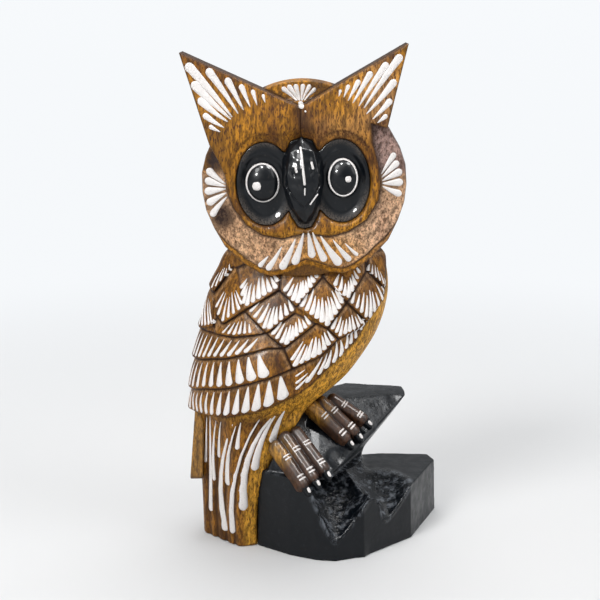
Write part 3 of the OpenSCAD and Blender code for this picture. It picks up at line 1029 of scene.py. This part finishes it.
def gougeMarks():
    # small chisel marks scattered over the two hollows, always in the same places
    chance = np.random.default_rng(7)
    marks = []
    for _ in range(16):
        x = chance.uniform(0, 37)
        z = chance.uniform(12, 31)
        y = -31 + 0.42 * max(x - 6, 0) + 0.25 * (z - 10) + chance.uniform(-2.5, 3)
        marks.append(((x, y, z), chance.uniform(1.8, 3.4)))
    return marks


gouges = gougeMarks()
facing = Vector(stump["facing"]).normalized()
ledgePlanes = hullPlanes([tuple(Vector(corner) + facing * lift) for corner in stump["ledge"]
                          for lift in (-stump["ledgeDepth"], 8)])


def scoopField(x, y, z):
    # two hollow cones opening upward, cut where the shelf meets the neck
    nearest = np.full(np.broadcast(x, y, z).shape, 1e3)
    for apex, toward, opening in stump["scoops"]:
        axis = (Vector(toward) - Vector(apex)).normalized()
        a, b, c = x - apex[0], y - apex[1], z - apex[2]
        t = a * axis[0] + b * axis[1] + c * axis[2]
        reach = np.sqrt(np.maximum(a * a + b * b + c * c - t * t, 0) + 1.5)
        cone = (reach - t * opening) / math.sqrt(1 + opening ** 2)
        nearest = np.minimum(nearest, softMax(cone, z - stump["scoopTop"], 1))
    return nearest


def stumpField(x, y, z):
    rock = softMax(hullField(rockPlanes, x, y, z), z - stump["shelf"], stump["edge"])
    riser = hullField(riserPlanes, x, y, z)
    perch = hullField(perchPlanes, x, y, z)
    field = softMin(softMin(rock, riser, 3), perch, 1.6)
    field = softMax(field, -scoopField(x, y, z), 0.8)
    field = softMax(field, -hullField(ledgePlanes, x, y, z), 0.5)
    for corner, reach, depth in stump["facets"]:
        a, b, c = Vector(corner) + facing * (reach - depth)
        field = softMax(field, reach - np.sqrt((x - a) ** 2 + (y - b) ** 2 + (z - c) ** 2), 0.3)
    for (a, b, c), reach in gouges:
        near = reach - np.sqrt((x - a) ** 2 + (1.6 * (y - b)) ** 2 + (0.7 * (z - c)) ** 2)
        cut = softMax(field, near, 0.25)
        field = np.where(field > -1.6, cut, field)
    return np.maximum(np.maximum(field, -z), 0.08 - bodyCore(x, y, z))


perchCarving = carveObject("perchCarving", stumpField, (-27, -35, -1.5), (55, 35, 60), stump["cell"])
stumpCarving = cutAt(perchCarving, stump["split"], "stumpCarving")
print("stump carved")


# ---------- feet ----------
feet = {
    "right": [((-14, -21.8, 42), (-5.4, -28.4, 31.4)), ((-10.4, -20.4, 45), (-1.6, -27.8, 34.2)),
              ((-6, -18.6, 46.6), (2.6, -26.4, 37.2))],
    "left": [((0.6, -9.4, 55), (11.6, -13, 45.2)), ((4.6, -7.2, 56.4), (15.2, -10.8, 47.4)),
             ((9, -4.8, 57.4), (18.8, -7.2, 51.4))],
    "toe": 2.35,
    "sunk": 3.2,
    "claw": 2.05,
    "clawTip": 1.0,
    "clawReach": 4.0,
    "clawTuck": 0.8,
    "clawDrop": 1.3,
    "margin": 6,
    "cell": 0.35,
}


def capsule(x, y, z, start, end, first, last, sunk=0.0):
    # a round bar; sunk carries it straight down into the perch by that much
    run = np.array(end, float) - np.array(start, float)
    t = (x - start[0]) * run[0] + (y - start[1]) * run[1] + (z - start[2]) * run[2]
    t = np.clip(t / (run @ run), 0, 1)
    away = [x - start[0] - t * run[0], y - start[1] - t * run[1], z - start[2] - t * run[2]]
    height = sum(part * way for part, way in zip(away, facing))
    kept = height - np.clip(height, -sunk, 0)
    square = sum(part ** 2 for part in away) - height ** 2 + kept ** 2
    return np.sqrt(np.maximum(square, 0)) - first - (last - first) * t


def toeField(toes):
    def field(x, y, z):
        shape = np.full(np.broadcast(x, y, z).shape, 1e3)
        for start, end in toes:
            back = np.array(start) - 0.22 * (np.array(end) - np.array(start))
            toe = capsule(x, y, z, back, end, feet["toe"] * 1.08, feet["toe"], feet["sunk"])
            shape = softMin(shape, toe, 0.35)
        return np.maximum(shape, 0.05 - bodyCore(x, y, z))
    return field


def clawPath(start, end):
    run = (Vector(end) - Vector(start)).normalized()
    knuckle = Vector(end) + run * 0.9
    tip = Vector(end) + run * feet["clawReach"] + Vector((0, feet["clawTuck"], -feet["clawDrop"]))
    return tuple(knuckle), tuple(tip)


def clawField(toes):
    def field(x, y, z):
        shape = np.full(np.broadcast(x, y, z).shape, 1e3)
        for start, end in toes:
            knuckle, tip = clawPath(start, end)
            shape = np.minimum(shape, capsule(x, y, z, knuckle, tip, feet["claw"], feet["clawTip"], 1.6))
        for start, end in toes:
            toe = capsule(x, y, z, start, end, feet["toe"], feet["toe"], feet["sunk"])
            shape = np.maximum(shape, 0.05 - toe)
        return shape
    return field


def carveFoot(name, toes, field):
    corners = np.array([point for toe in toes for point in toe])
    margin = feet["margin"]
    return carveObject(name, field, corners.min(0) - margin, corners.max(0) + margin, feet["cell"])


rightFoot = carveFoot("rightFootCarving", feet["right"], toeField(feet["right"]))
leftFoot = carveFoot("leftFootCarving", feet["left"], toeField(feet["left"]))
rightClaws = carveFoot("rightClawCarving", feet["right"], clawField(feet["right"]))
leftClaws = carveFoot("leftClawCarving", feet["left"], clawField(feet["left"]))
print("feet carved")


# ---------- painted strokes ----------
# each stroke is a thin drop of paint: a fine tip that swells to a round end
brush = {
    "thick": 0.26,
    "sink": 0.3,
    "lift": 0.03,
    "tip": 0.13,
    "round": 27,
    "inset": 1.0,
}


def surfaceTree(*pieces):
    points, faces = [], []
    for piece in pieces:
        start = len(points)
        points.extend(map(tuple, pointsOf(piece)))
        faces.extend([tuple(start + i for i in face.vertices) for face in piece.data.polygons])
    return BVHTree.FromPolygons(points, faces)


def rayOnto(tree, origin, toward):
    place, normal, _, _ = tree.ray_cast(Vector(origin), Vector(toward).normalized())
    if place is None:
        place, normal, _, _ = tree.find_nearest(Vector(origin) + Vector(toward))
    return place, normal


def dropProfile(length, width):
    # where the stations stand along a stroke, and how wide each one is
    end = min(0.4, 0.55 * width / length)
    rise = np.linspace(0, 1, 7) * (1 - end)
    fall = 1 - end + end * np.sin(np.linspace(0, math.pi / 2, 6)[1:])
    grow = brush["tip"] + (1 - brush["tip"]) * (rise / (1 - end)) ** 0.85
    close = np.sqrt(np.maximum(1 - ((fall - 1 + end) / end) ** 2, 0.01))
    return np.concatenate([rise, fall]), width / 2 * np.concatenate([grow, close])


def evenProfile(length, width):
    share = min(0.3, 0.5 * width / length)
    spots = np.concatenate([[0, 0.35 * share, share], np.linspace(share, 1 - share, 7)[1:-1],
                            [1 - share, 1 - 0.35 * share, 1]])
    edge = np.minimum(spots, 1 - spots) / share
    return spots, width / 2 * np.sqrt(np.clip(1 - (1 - np.minimum(edge, 1)) ** 2, 0.04, 1))


class StrokeSet:
    # many strokes gathered into one piece
    def __init__(self, surface):
        self.surface = surface
        self.points, self.faces = [], []

    def path(self, stations, halves, closed=False):
        stations = [Vector(station) for station in stations]
        start, rings = len(self.points), len(stations)
        for i, (station, half) in enumerate(zip(stations, halves)):
            before = stations[i - 1] if (i or closed) else station
            after = stations[(i + 1) % rings] if (i + 1 < rings or closed) else station
            run = (after - before).normalized()
            side = Vector((-run.y, run.x))
            dome = brush["thick"] * min(1, half / 0.35)
            for share, lift in ((-1, -brush["sink"]), (-1, brush["lift"]), (-0.5, dome), (0.5, dome),
                                (1, brush["lift"]), (1, -brush["sink"])):
                place, normal = self.surface(*(station + side * half * share))
                self.points.append(place + normal * lift)
        for i in range(rings if closed else rings - 1):
            for k in range(6):
                a, b = start + i * 6 + k, start + i * 6 + (k + 1) % 6
                c, d = start + (i + 1) % rings * 6 + (k + 1) % 6, start + (i + 1) % rings * 6 + k
                self.faces.append((a, b, c, d))
        if not closed:
            self.faces.append(tuple(range(start, start + 6)))
            self.faces.append(tuple(range(start + (rings - 1) * 6, start + rings * 6)))

    def drop(self, tip, end, width, bend=0.0, profile=dropProfile):
        tip, end = Vector(tip), Vector(end)
        run = end - tip
        middle = (tip + end) / 2 + Vector((-run.y, run.x)) * bend
        spots, halves = profile(run.length, width)
        stations = [tip * (1 - t) ** 2 + middle * 2 * t * (1 - t) + end * t * t for t in spots]
        self.path(stations, halves)

    def piece(self, name, mirrored=False):
        flip = Vector((1, -1, 1)) if mirrored else Vector((1, 1, 1))
        made = meshObject(name, [point * flip for point in self.points], self.faces)
        closeMesh(made)
        return made


def pointAlong(line, share):
    line = np.array(line, float)
    steps = np.concatenate([[0], np.cumsum(np.linalg.norm(np.diff(line, axis=0), axis=1))])
    return np.array([np.interp(share * steps[-1], steps, line[:, i]) for i in (0, 1)])


def roundPlace(x, z):
    # a place seen from the side, as a distance round the body and a height
    back, breast = along(backCurve, z), along(breastCurve, z)
    share = (x - (back + breast) / 2) / ((breast - back) / 2 + 2.4)
    return brush["round"] * math.asin(max(-1, min(1, share))), z


flankTree = surfaceTree(rightWing, torso, tail)


def flankSurface(s, z):
    back, breast, half = along(backCurve, z), along(breastCurve, z), along(halfCurve, z)
    turn = s / brush["round"]
    middle = Vector(((back + breast) / 2, 0, z))
    out = Vector((((breast - back) / 2 + 2.4) * math.sin(turn), -(half + 2.4) * math.cos(turn), 0))
    return rayOnto(flankTree, middle + out * 1.6, -out)


def tailSurface(x, z):
    return rayOnto(flankTree, (x, -60, z), (0, 60, 0))


# feather, where its strokes point from, first and last share along its lower edge, how many, tip share
# and width
fans = [
    ("shoulderBack", (-36.5, 122), 0.2, 0.86, 7, 0.45, 1.1),
    ("shoulderA", (-24.5, 121), 0.22, 0.86, 10, 0.42, 1.45),
    ("shoulderB", (-5, 120), 0.08, 0.93, 9, 0.42, 1.45),
    ("shoulderC", (13.5, 121), 0.22, 0.92, 8, 0.45, 1.3),
    ("shoulderD", (25, 124), 0.12, 0.78, 6, 0.5, 1.1),
    ("spine", (-44.5, 112), 0.32, 0.56, 5, 0.35, 1.2),
    ("middleA", (-34.5, 112), 0.16, 0.62, 7, 0.3, 1.1),
    ("middleB", (-15, 112), 0.06, 0.9, 9, 0.42, 1.3),
    ("middleC", (2.5, 118), 0.06, 0.94, 10, 0.42, 1.45),
    ("middleD", (21.5, 118), 0.08, 0.86, 9, 0.45, 1.3),
    ("lowA", (-29, 103), 0.22, 0.74, 6, 0.42, 1.0),
    ("lowB", (-8.5, 104), 0.08, 0.92, 9, 0.42, 1.25),
    ("lowC", (13.5, 106), 0.1, 0.9, 8, 0.4, 1.2),
    ("lowD", (1, 99), 0.2, 0.93, 9, 0.38, 1.4),
]
bellyStrokes = [
    ((-4.5, 78), (-8.5, 75.5), 0.9), ((-3.5, 76.5), (-8.5, 72.5), 1.2), ((-3.5, 75), (-8.5, 70), 1.3),
    ((2.5, 82.5), (-4.3, 72.4), 1.7), ((4.4, 83.8), (0.6, 75.4), 1.4), ((6, 85), (3.4, 77.6), 1.6),
    ((8.2, 88), (6.6, 79.8), 1.5), ((9.8, 88.6), (9.4, 82), 1.5), ((12.7, 92), (11.4, 85), 1.1),
    ((14.4, 93), (13.2, 86.6), 1.2), ((16, 94), (15.4, 88.6), 1.1), ((18.5, 96), (18, 91.5), 1.1),
    ((21.5, 97.5), (20.8, 94.2), 1.0), ((24, 100.5), (23.2, 97.4), 0.9),
]
# upper edge, lower edge, right end, how many, lean at the right end, width at the back and at the right end
rows = [
    (rowOne, rowTwo, -23, 11, -2.4, 1.5, 1.6),
    (rowTwo + [(-9.4, 78.8)], rowThree, -22.5, 11, 4.6, 1.5, 3.3),
    (rowThree, rowFour, -13.5, 14, 5, 1.5, 3.4),
]
tailStrokes = [
    ((-40.4, 53.5), (-41.9, 25.5), 1.5, -0.06), ((-38.4, 53.5), (-39.6, 37), 1.3, -0.04),
    ((-43, 54.5), (-43.8, 11), 1.8, 0), ((-44.6, 53), (-45.6, 32), 1.2, 0),
    ((-33.4, 54), (-37.4, 4.5), 2.6, -0.14), ((-32.2, 53), (-36.1, 26), 2, -0.1),
    ((-30.2, 54.5), (-31.8, 43), 1.8, -0.03), ((-22.8, 55.5), (-34.2, 5), 2.3, -0.17),
    ((-18.2, 55.8), (-29.4, 16), 3.7, -0.21), ((-16.6, 56.8), (-25, 33), 3.3, -0.12),
    ((-12.8, 59), (-18, 44.5), 3, -0.06),
]


def paintFlank():
    strokes = StrokeSet(flankSurface)
    chance = np.random.default_rng(3)
    for name, origin, first, last, count, share, width in fans:
        lower = feathers[name][1]
        origin = np.array(origin, float)
        for i in range(count):
            t = i / (count - 1)
            target = pointAlong(lower, first + (last - first) * t)
            run = target - origin
            target = target - run / np.linalg.norm(run) * brush["inset"]
            reach = share + 0.06 + 0.16 * chance.random() + 0.08 * abs(2 * t - 1)
            tip = origin + (target - origin) * reach
            wide = width * (1.22 - 0.2 * abs(2 * t - 1)) * chance.uniform(0.85, 1.1)
            strokes.drop(roundPlace(*tip), roundPlace(*target), wide, 0.08 * (chance.random() - 0.5))
    for tip, end, width in bellyStrokes:
        strokes.drop(roundPlace(*tip), roundPlace(*end), width, 0.04)
    for upper, lower, last, count, leaning, narrow, wide in rows:
        upperX, upperZ = zip(*upper)
        lowerX, lowerZ = zip(*lower)
        far = roundPlace(last, np.interp(last, upperX, upperZ))[0]
        near = -40.5
        for i in range(count):
            t = i / (count - 1)
            s = near + (far - near) * t ** 0.9
            tip = (s, rowHeight(s, upperX, upperZ) - 1.5)
            foot = s + leaning * t
            end = (foot, rowHeight(foot, lowerX, lowerZ) + 1.0)
            strokes.drop(tip, end, narrow + (wide - narrow) * t ** 1.6, 0.05 * math.copysign(1, -leaning))
    return strokes


def rowHeight(s, lineX, lineZ):
    # height of a feather edge at a distance round the body
    z = 80.0
    for _ in range(4):
        back, breast = along(backCurve, z), along(breastCurve, z)
        x = (back + breast) / 2 + ((breast - back) / 2 + 2.4) * math.sin(s / brush["round"])
        z = np.interp(x, lineX, lineZ)
    return z


flankStrokes = paintFlank()
rightWingStrokes = flankStrokes.piece("rightWingStrokes")
leftWingStrokes = flankStrokes.piece("leftWingStrokes", True)
tailSet = StrokeSet(tailSurface)
for tip, end, width, bend in tailStrokes:
    tailSet.drop(tip, end, width, bend)
rightTailStrokes = tailSet.piece("rightTailStrokes")
leftTailStrokes = tailSet.piece("leftTailStrokes", True)
print("body strokes painted")


# ---------- strokes on the head ----------
headTree = surfaceTree(headCarving, rightBrow, leftBrow, maskCarving, beakCarving, rightEye, leftEye)


def faceSurface(u, w):
    x, z = facePlace(u, w)
    return rayOnto(headTree, (x, -60, z), (0, 60, 0))


# tip, round end, width and bend of every stroke on the face
faceStrokes = [
    ((-14.6, -25.4), (-18.4, -29.6), 1.9, 0), ((-9.3, -21.8), (-15.4, -31), 2.4, 0.05),
    ((-3.9, -19), (-10, -31), 3.1, 0.05), ((-0.7, -16.6), (-4.9, -29.4), 3.1, 0.04),
    ((1.1, -16), (2.3, -27), 3, 0), ((2.8, -16.4), (7.2, -28.6), 2.9, -0.05),
    ((5.8, -18.2), (13, -30.2), 3.5, -0.05), ((10.5, -20), (16.9, -28.8), 2.4, -0.04),
    ((15, -21.5), (19.8, -26.8), 1.5, -0.04), ((-29.4, 3.3), (-36.2, 9.1), 2.9, 0.06),
    ((-29.4, 2.4), (-37.2, 5), 3, 0.03), ((-29.4, 1.4), (-37.6, 0.4), 3.1, 0),
    ((-29.3, -0.1), (-36.9, -4.4), 3, -0.03), ((-29, -1.6), (-35.6, -9.2), 2.6, -0.07),
    ((29.6, 4.4), (35.2, 12), 2.3, 0.02), ((29.8, 3.2), (36.4, 8.8), 2.6, 0),
    ((29.9, 1.9), (37.6, 5.2), 2.9, 0), ((29.9, 0.9), (37.9, 0.9), 3, -0.03),
    ((30, -0.2), (37.2, -3.9), 2.7, -0.05), ((-25.3, 28.6), (-41.2, 48.8), 3.6, -0.02),
    ((-23, 29.8), (-33.6, 46.6), 3, -0.02), ((-20.9, 31), (-26.7, 43), 2.7, 0),
    ((-18.4, 32), (-21.6, 40.4), 2.2, 0), ((-15.8, 32.6), (-17.3, 38.3), 1.7, 0),
    ((-12.8, 33.4), (-13.5, 36.5), 1.2, 0), ((-25.8, 27.9), (-39.4, 42), 3.5, 0.03),
    ((-27, 27), (-37.4, 36), 3, 0.06), ((-28.5, 24.9), (-35.9, 30.2), 2.4, 0.06),
    ((-30, 23.4), (-34, 25.8), 1.7, 0.05), ((23.8, 29.8), (38.2, 48.6), 3, 0.02),
    ((21.9, 30.6), (33, 46), 2.7, 0.02), ((19.7, 31.8), (27, 43), 2.4, 0),
    ((18, 32.8), (22.4, 40.2), 2, 0), ((16.4, 34), (18.5, 38.6), 1.5, 0),
    ((14.6, 34.4), (15.4, 37), 1.1, 0), ((24.6, 27.6), (35.8, 39.6), 2.8, -0.03),
    ((26.8, 25.6), (34, 32.6), 2.4, -0.04), ((28.6, 24.2), (32.2, 27), 1.8, -0.04),
]
crownStrokes = [
    ((-0.3, 32.6), (-6.4, 38.2), 1.9), ((0, 33), (-4.1, 39), 1.9), ((0.2, 33.2), (-1.4, 39.2), 1.9),
    ((0.6, 33.2), (1.6, 39.2), 1.8), ((0.9, 33), (4.2, 38.8), 1.7), ((1.2, 32.6), (6.2, 37.4), 1.5),
]


def paintFace():
    strokes = StrokeSet(faceSurface)
    for tip, end, width, bend in faceStrokes:
        strokes.drop(tip, end, width, bend)
    for tip, end, width in crownStrokes:
        strokes.drop(tip, end, width)
    strokes.drop((0, 32.9), (1, 30.5), 1.9, 0, evenProfile)
    strokes.drop((1.7, 29.7), (2.3, 29.2), 0.7, 0, evenProfile)
    return strokes.piece("faceStrokes")


# middle of each ring, its half width and half height, then the dot in it and the dot's size
eyeRings = [((-15.3, 3.2), 6.1, 7.3, (-17.5, 2.4), 3.2), ((15.1, 4), 5.3, 6.9, (17, 3.6), 2.3)]
beakStrokes = [
    ((-0.4, 16.6), (0.6, 2.4), 0.95), ((0.6, 1.4), (0.4, -1.4), 0.5), ((-2.7, 10), (-2.2, 7), 0.9),
    ((3.4, 11), (4, 8), 0.9), ((2.2, -5.2), (5.4, -1.2), 0.5),
]


def ellipsePath(middle, wide, tall, count):
    turns = [2 * math.pi * i / count for i in range(count)]
    return [(middle[0] + wide * math.cos(t), middle[1] + tall * math.sin(t)) for t in turns]


def paintEyes():
    strokes = StrokeSet(faceSurface)
    for middle, wide, tall, dot, size in eyeRings:
        stations = ellipsePath(middle, wide, tall, 56)
        strokes.path(stations, [0.3] * len(stations), True)
        strokes.drop((dot[0] - size / 2, dot[1]), (dot[0] + size / 2, dot[1]), size, 0, evenProfile)
    for start, end, width in beakStrokes:
        strokes.drop(start, end, width, 0, evenProfile)
    return strokes.piece("eyeStrokes")


faceStrokePiece = paintFace()
eyeStrokePiece = paintEyes()
print("face strokes painted")


# ---------- strokes on the feet ----------
def toeSurface(start, end, radius):
    axis = (Vector(end) - Vector(start)).normalized()
    out = Vector((0.3, -0.72, 0.62))
    out = (out - axis * out.dot(axis)).normalized()
    side = axis.cross(out)

    def surface(across, down):
        turn = across / radius
        normal = out * math.cos(turn) + side * math.sin(turn)
        return Vector(start) + axis * down + normal * radius, normal
    return surface


def paintToes(name, toes):
    made = StrokeSet(None)
    for start, end in toes:
        length = (Vector(end) - Vector(start)).length
        made.surface = toeSurface(start, end, feet["toe"])
        for share in (0.16, 0.25, 0.8, 0.9):
            made.drop((-1.7, share * length), (1.7, share * length), 0.75, 0, evenProfile)
        knuckle, tip = clawPath(start, end)
        made.surface = toeSurface(knuckle, tip, feet["claw"] * 0.86)
        made.drop((0, 1.0), (0, 3.3), 1.35, 0, evenProfile)
    return made.piece(name)


rightToeStrokes = paintToes("rightToeStrokes", feet["right"])
leftToeStrokes = paintToes("leftToeStrokes", feet["left"])
print("toe strokes painted")


# ---------- carved tones ----------
# soft oval stains on the face disc: middle, half widths and strength
headStains = [((-31.5, -9), (5, 5.5), 0.92), ((-33, 12.5), (4.5, 6), 0.92), ((-34, 1), (4, 8), 0.7),
              ((34, 3), (4.5, 8), 0.6)]


def oval(u, w, middle, size, power=1, width=1):
    # one at the middle and fading outward, faster at the edge for a higher power
    return bump(np.hypot((u - middle[0]) / size[0], (w - middle[1]) / size[1]) ** power, width)


def toneBody(piece):
    x, y, z = pointsOf(piece).T
    low, high = along(backCurve, z), along(breastCurve, z)
    flow = (x - low) / (high - low)
    grooves = sum(bump((flow - at) * (high - low), 0.7) for at in body["tailGrooves"])
    grooves = grooves * softStep(2, 6, np.abs(y)) * softStep(58, 50, z)
    belly = np.maximum(softStep(0.72, 0.84, flow) * softStep(90, 40, z), softStep(52, 62, z))
    # painted shade on the body along and under the wing's edge; the tail grooves are darker too
    underWingShade = bump(plume.read(edgeChart, x, z) - 0.2, 0.9) * softStep(50, 54, z)
    paintTone(piece, np.clip(0.75 * grooves + 0.8 * underWingShade, 0, 1), 0, belly)


def toneHead(piece):
    x, y, z = pointsOf(piece).T
    u, w = facePlane(x, z)
    inward = -face.read(rimChart, u, w)
    band = 0.5 + 1.9 * softStep(-14, -24, w)
    front = softStep(-18, -20, y)
    ring = face.read(browChart, u, w)
    line = bump(inward - band, 0.42) * softStep(-10, -18, w)
    dark = np.maximum(line, bump(np.maximum(inward, 0), 0.4) * 0.7 * (w < 30))
    dark = np.maximum(dark, bump(np.maximum(ring, 0), 0.6) * 0.85)
    for middle, size, share in headStains:
        dark = np.maximum(dark, share * oval(u, w, middle, size, 2, 1.1))
    dark = np.maximum(dark, 0.6 * bump(np.maximum(ring, 0), 1.6) * softStep(10, 20, u))
    dark = np.maximum(dark, 0.75 * bump(inward, 0.5) * (w > 28))
    dark = np.maximum(dark, 0.6 * oval(u, w, (7, 38), (4, 4), 2))
    chinBand = softStep(0.2, -0.2, inward - band) * softStep(-10, -18, w)
    underBeak = oval(u, w, (7, -26), (13, 8), 2)
    sideGold = softStep(6, 10, w) * softStep(-20, -27, u)
    dark = np.maximum(dark, 0.55 * sideGold)
    gold = np.clip(chinBand + 0.85 * underBeak + sideGold, 0, 1)
    plum = softStep(24, 28, u) * softStep(2, 7, w) * 0.95 + 0.25 * softStep(18, 30, u) * softStep(0, -10, w)
    back = np.maximum(1 - front, softStep(29, 31, w))
    dark = dark * np.maximum(front, back * (y < 0))
    paintTone(piece, dark, 0, np.maximum(gold * front, back), plum * front)


def toneBrow(piece):
    x, y, z = pointsOf(piece).T
    u, w = facePlane(x, z)
    side = np.abs(u)
    outline = -face.read(browChart, u, w)
    mask = face.read(maskChart, u, w)
    front = softStep(-24, -26, y)
    dark = 0.7 * bump(side, 1.6) * softStep(17, 24, w) + 0.7 * bump(np.maximum(mask, 0), 0.6)
    dark = np.maximum(dark, 0.65 * bump(np.maximum(outline, 0), 0.5) * (side > 1))
    walls = softStep(1.2, 0.3, outline) * (side > 1)
    dark = np.maximum(dark, (1 - front) * 0.85 * np.maximum(walls, 0.5))
    dark = np.maximum(dark, 0.5 * softStep(-22, -31, u) * softStep(34, 24, w))
    dark = np.maximum(dark, 0.42 * oval(u, w, (-9, 19), (10, 5)))
    dark = np.maximum(dark, 0.5 * bump(side, 4.5) * softStep(34, 24, w))
    lid = np.hypot((side - 14.6) / 13.4, (w - 3.2) / 18.4)
    dark = np.maximum(dark, 0.5 * bump((lid - 1) * 15, 0.45) * softStep(6, 12, w))
    rim = bump(outline - 1.2, 1.1) * softStep(-4, -12, w)
    pale = 0.5 * oval(u, w, (30, 34), (9, 12)) + 0.25 * oval(u, w, (15, 23), (10, 5))
    paintTone(piece, np.clip(dark, 0, 1), pale, 0.3 * rim)


def toneFoot(piece, toes):
    x, y, z = pointsOf(piece).T
    near = np.sort([capsule(x, y, z, start, end, feet["toe"], feet["toe"]) for start, end in toes], axis=0)
    gold = softStep(8, 1, np.sqrt(sum((part - at) ** 2 for part, at in zip((x, y, z), toes[0][0]))))
    paintTone(piece, 0.95 * bump(near[1] - near[0], 1.0), 0, gold * 0.75)


def toneMask(piece):
    x, y, z = pointsOf(piece).T
    u, w = facePlane(x, z)
    edge = -face.read(maskChart, u, w)
    lower = softStep(3.2, 0.4, edge) * softStep(2, -8, w - np.abs(u) * 0.2 + 4)
    upper = softStep(2.6, 0.4, edge) * softStep(9, 13, w) * softStep(8, 12, np.abs(u))
    paintTone(piece, 0, np.maximum(0.9 * lower, 0.6 * upper))


for piece in (torso, tail):
    toneBody(piece)
toneHead(headCarving)
for piece in (rightBrow, leftBrow):
    toneBrow(piece)
toneFoot(rightFoot, feet["right"])
toneFoot(leftFoot, feet["left"])
toneMask(maskCarving)
rearX, rearY, rearZ = pointsOf(rearTail).T
rearLines = sum(bump(rearY - gap, 0.6) for gap in rearFeathers["gaps"])
paintTone(rearTail, 0.7 * rearLines + 0.6 * softStep(29, 25, rearZ), 0, 0.45)
# the carved hollows, and the perch a little all over, get painted glints, lower roughness and chisel marks
for piece, least in ((stumpCarving, 0), (perchCarving, 0.25)):
    scooped = softStep(2.2, 0.6, scoopField(*pointsOf(piece).T))
    paintTone(piece, 0, 0, np.maximum(scooped, least))
for piece in (beakCarving, rightEye, leftEye, rightClaws, leftClaws):
    paintTone(piece)
print("tones laid")


# ---------- pieces, materials and nodes ------
for piece, slotName, material, node in (
        (torso, "feather_wood", featherWood, "torso"),
        (tail, "feather_wood", featherWood, "tail"),
        (rearTail, "dark_wood", darkWood, "rear_tail_feathers"),
        (rightWing, "feather_wood", featherWood, "right_wing"),
        (leftWing, "feather_wood", featherWood, "left_wing"),
        (headCarving, "face_wood", faceWood, "head"),
        (rightBrow, "brow_wood", browWood, "right_brow"),
        (leftBrow, "brow_wood", browWood, "left_brow"),
        (maskCarving, "black_gloss", glossBlack, "eye_mask"),
        (beakCarving, "black_gloss", glossBlack, "beak"),
        (rightEye, "black_gloss", glossBlack, "right_eye"),
        (leftEye, "black_gloss", glossBlack, "left_eye"),
        (stumpCarving, "stump_paint", stumpPaint, "stump_base"),
        (perchCarving, "stump_paint", stumpPaint, "perch"),
        (rightFoot, "dark_wood", darkWood, "right_foot"),
        (leftFoot, "dark_wood", darkWood, "left_foot"),
        (rightClaws, "black_gloss", glossBlack, "right_claws"),
        (leftClaws, "black_gloss", glossBlack, "left_claws")):
    finishPiece(piece, slotName, material, node)
for piece in (rightWingStrokes, leftWingStrokes, rightTailStrokes, leftTailStrokes, faceStrokePiece,
              eyeStrokePiece, rightToeStrokes, leftToeStrokes):
    finishPiece(piece, "white_paint", whitePaint)
for node in ("neck_dowel", "seat_dowel", "tail_dowels", "perch_dowels"):
    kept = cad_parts[node]
    kept.data.materials.clear()
    kept.data.materials.append(dowelWood)
print("pieces finished")
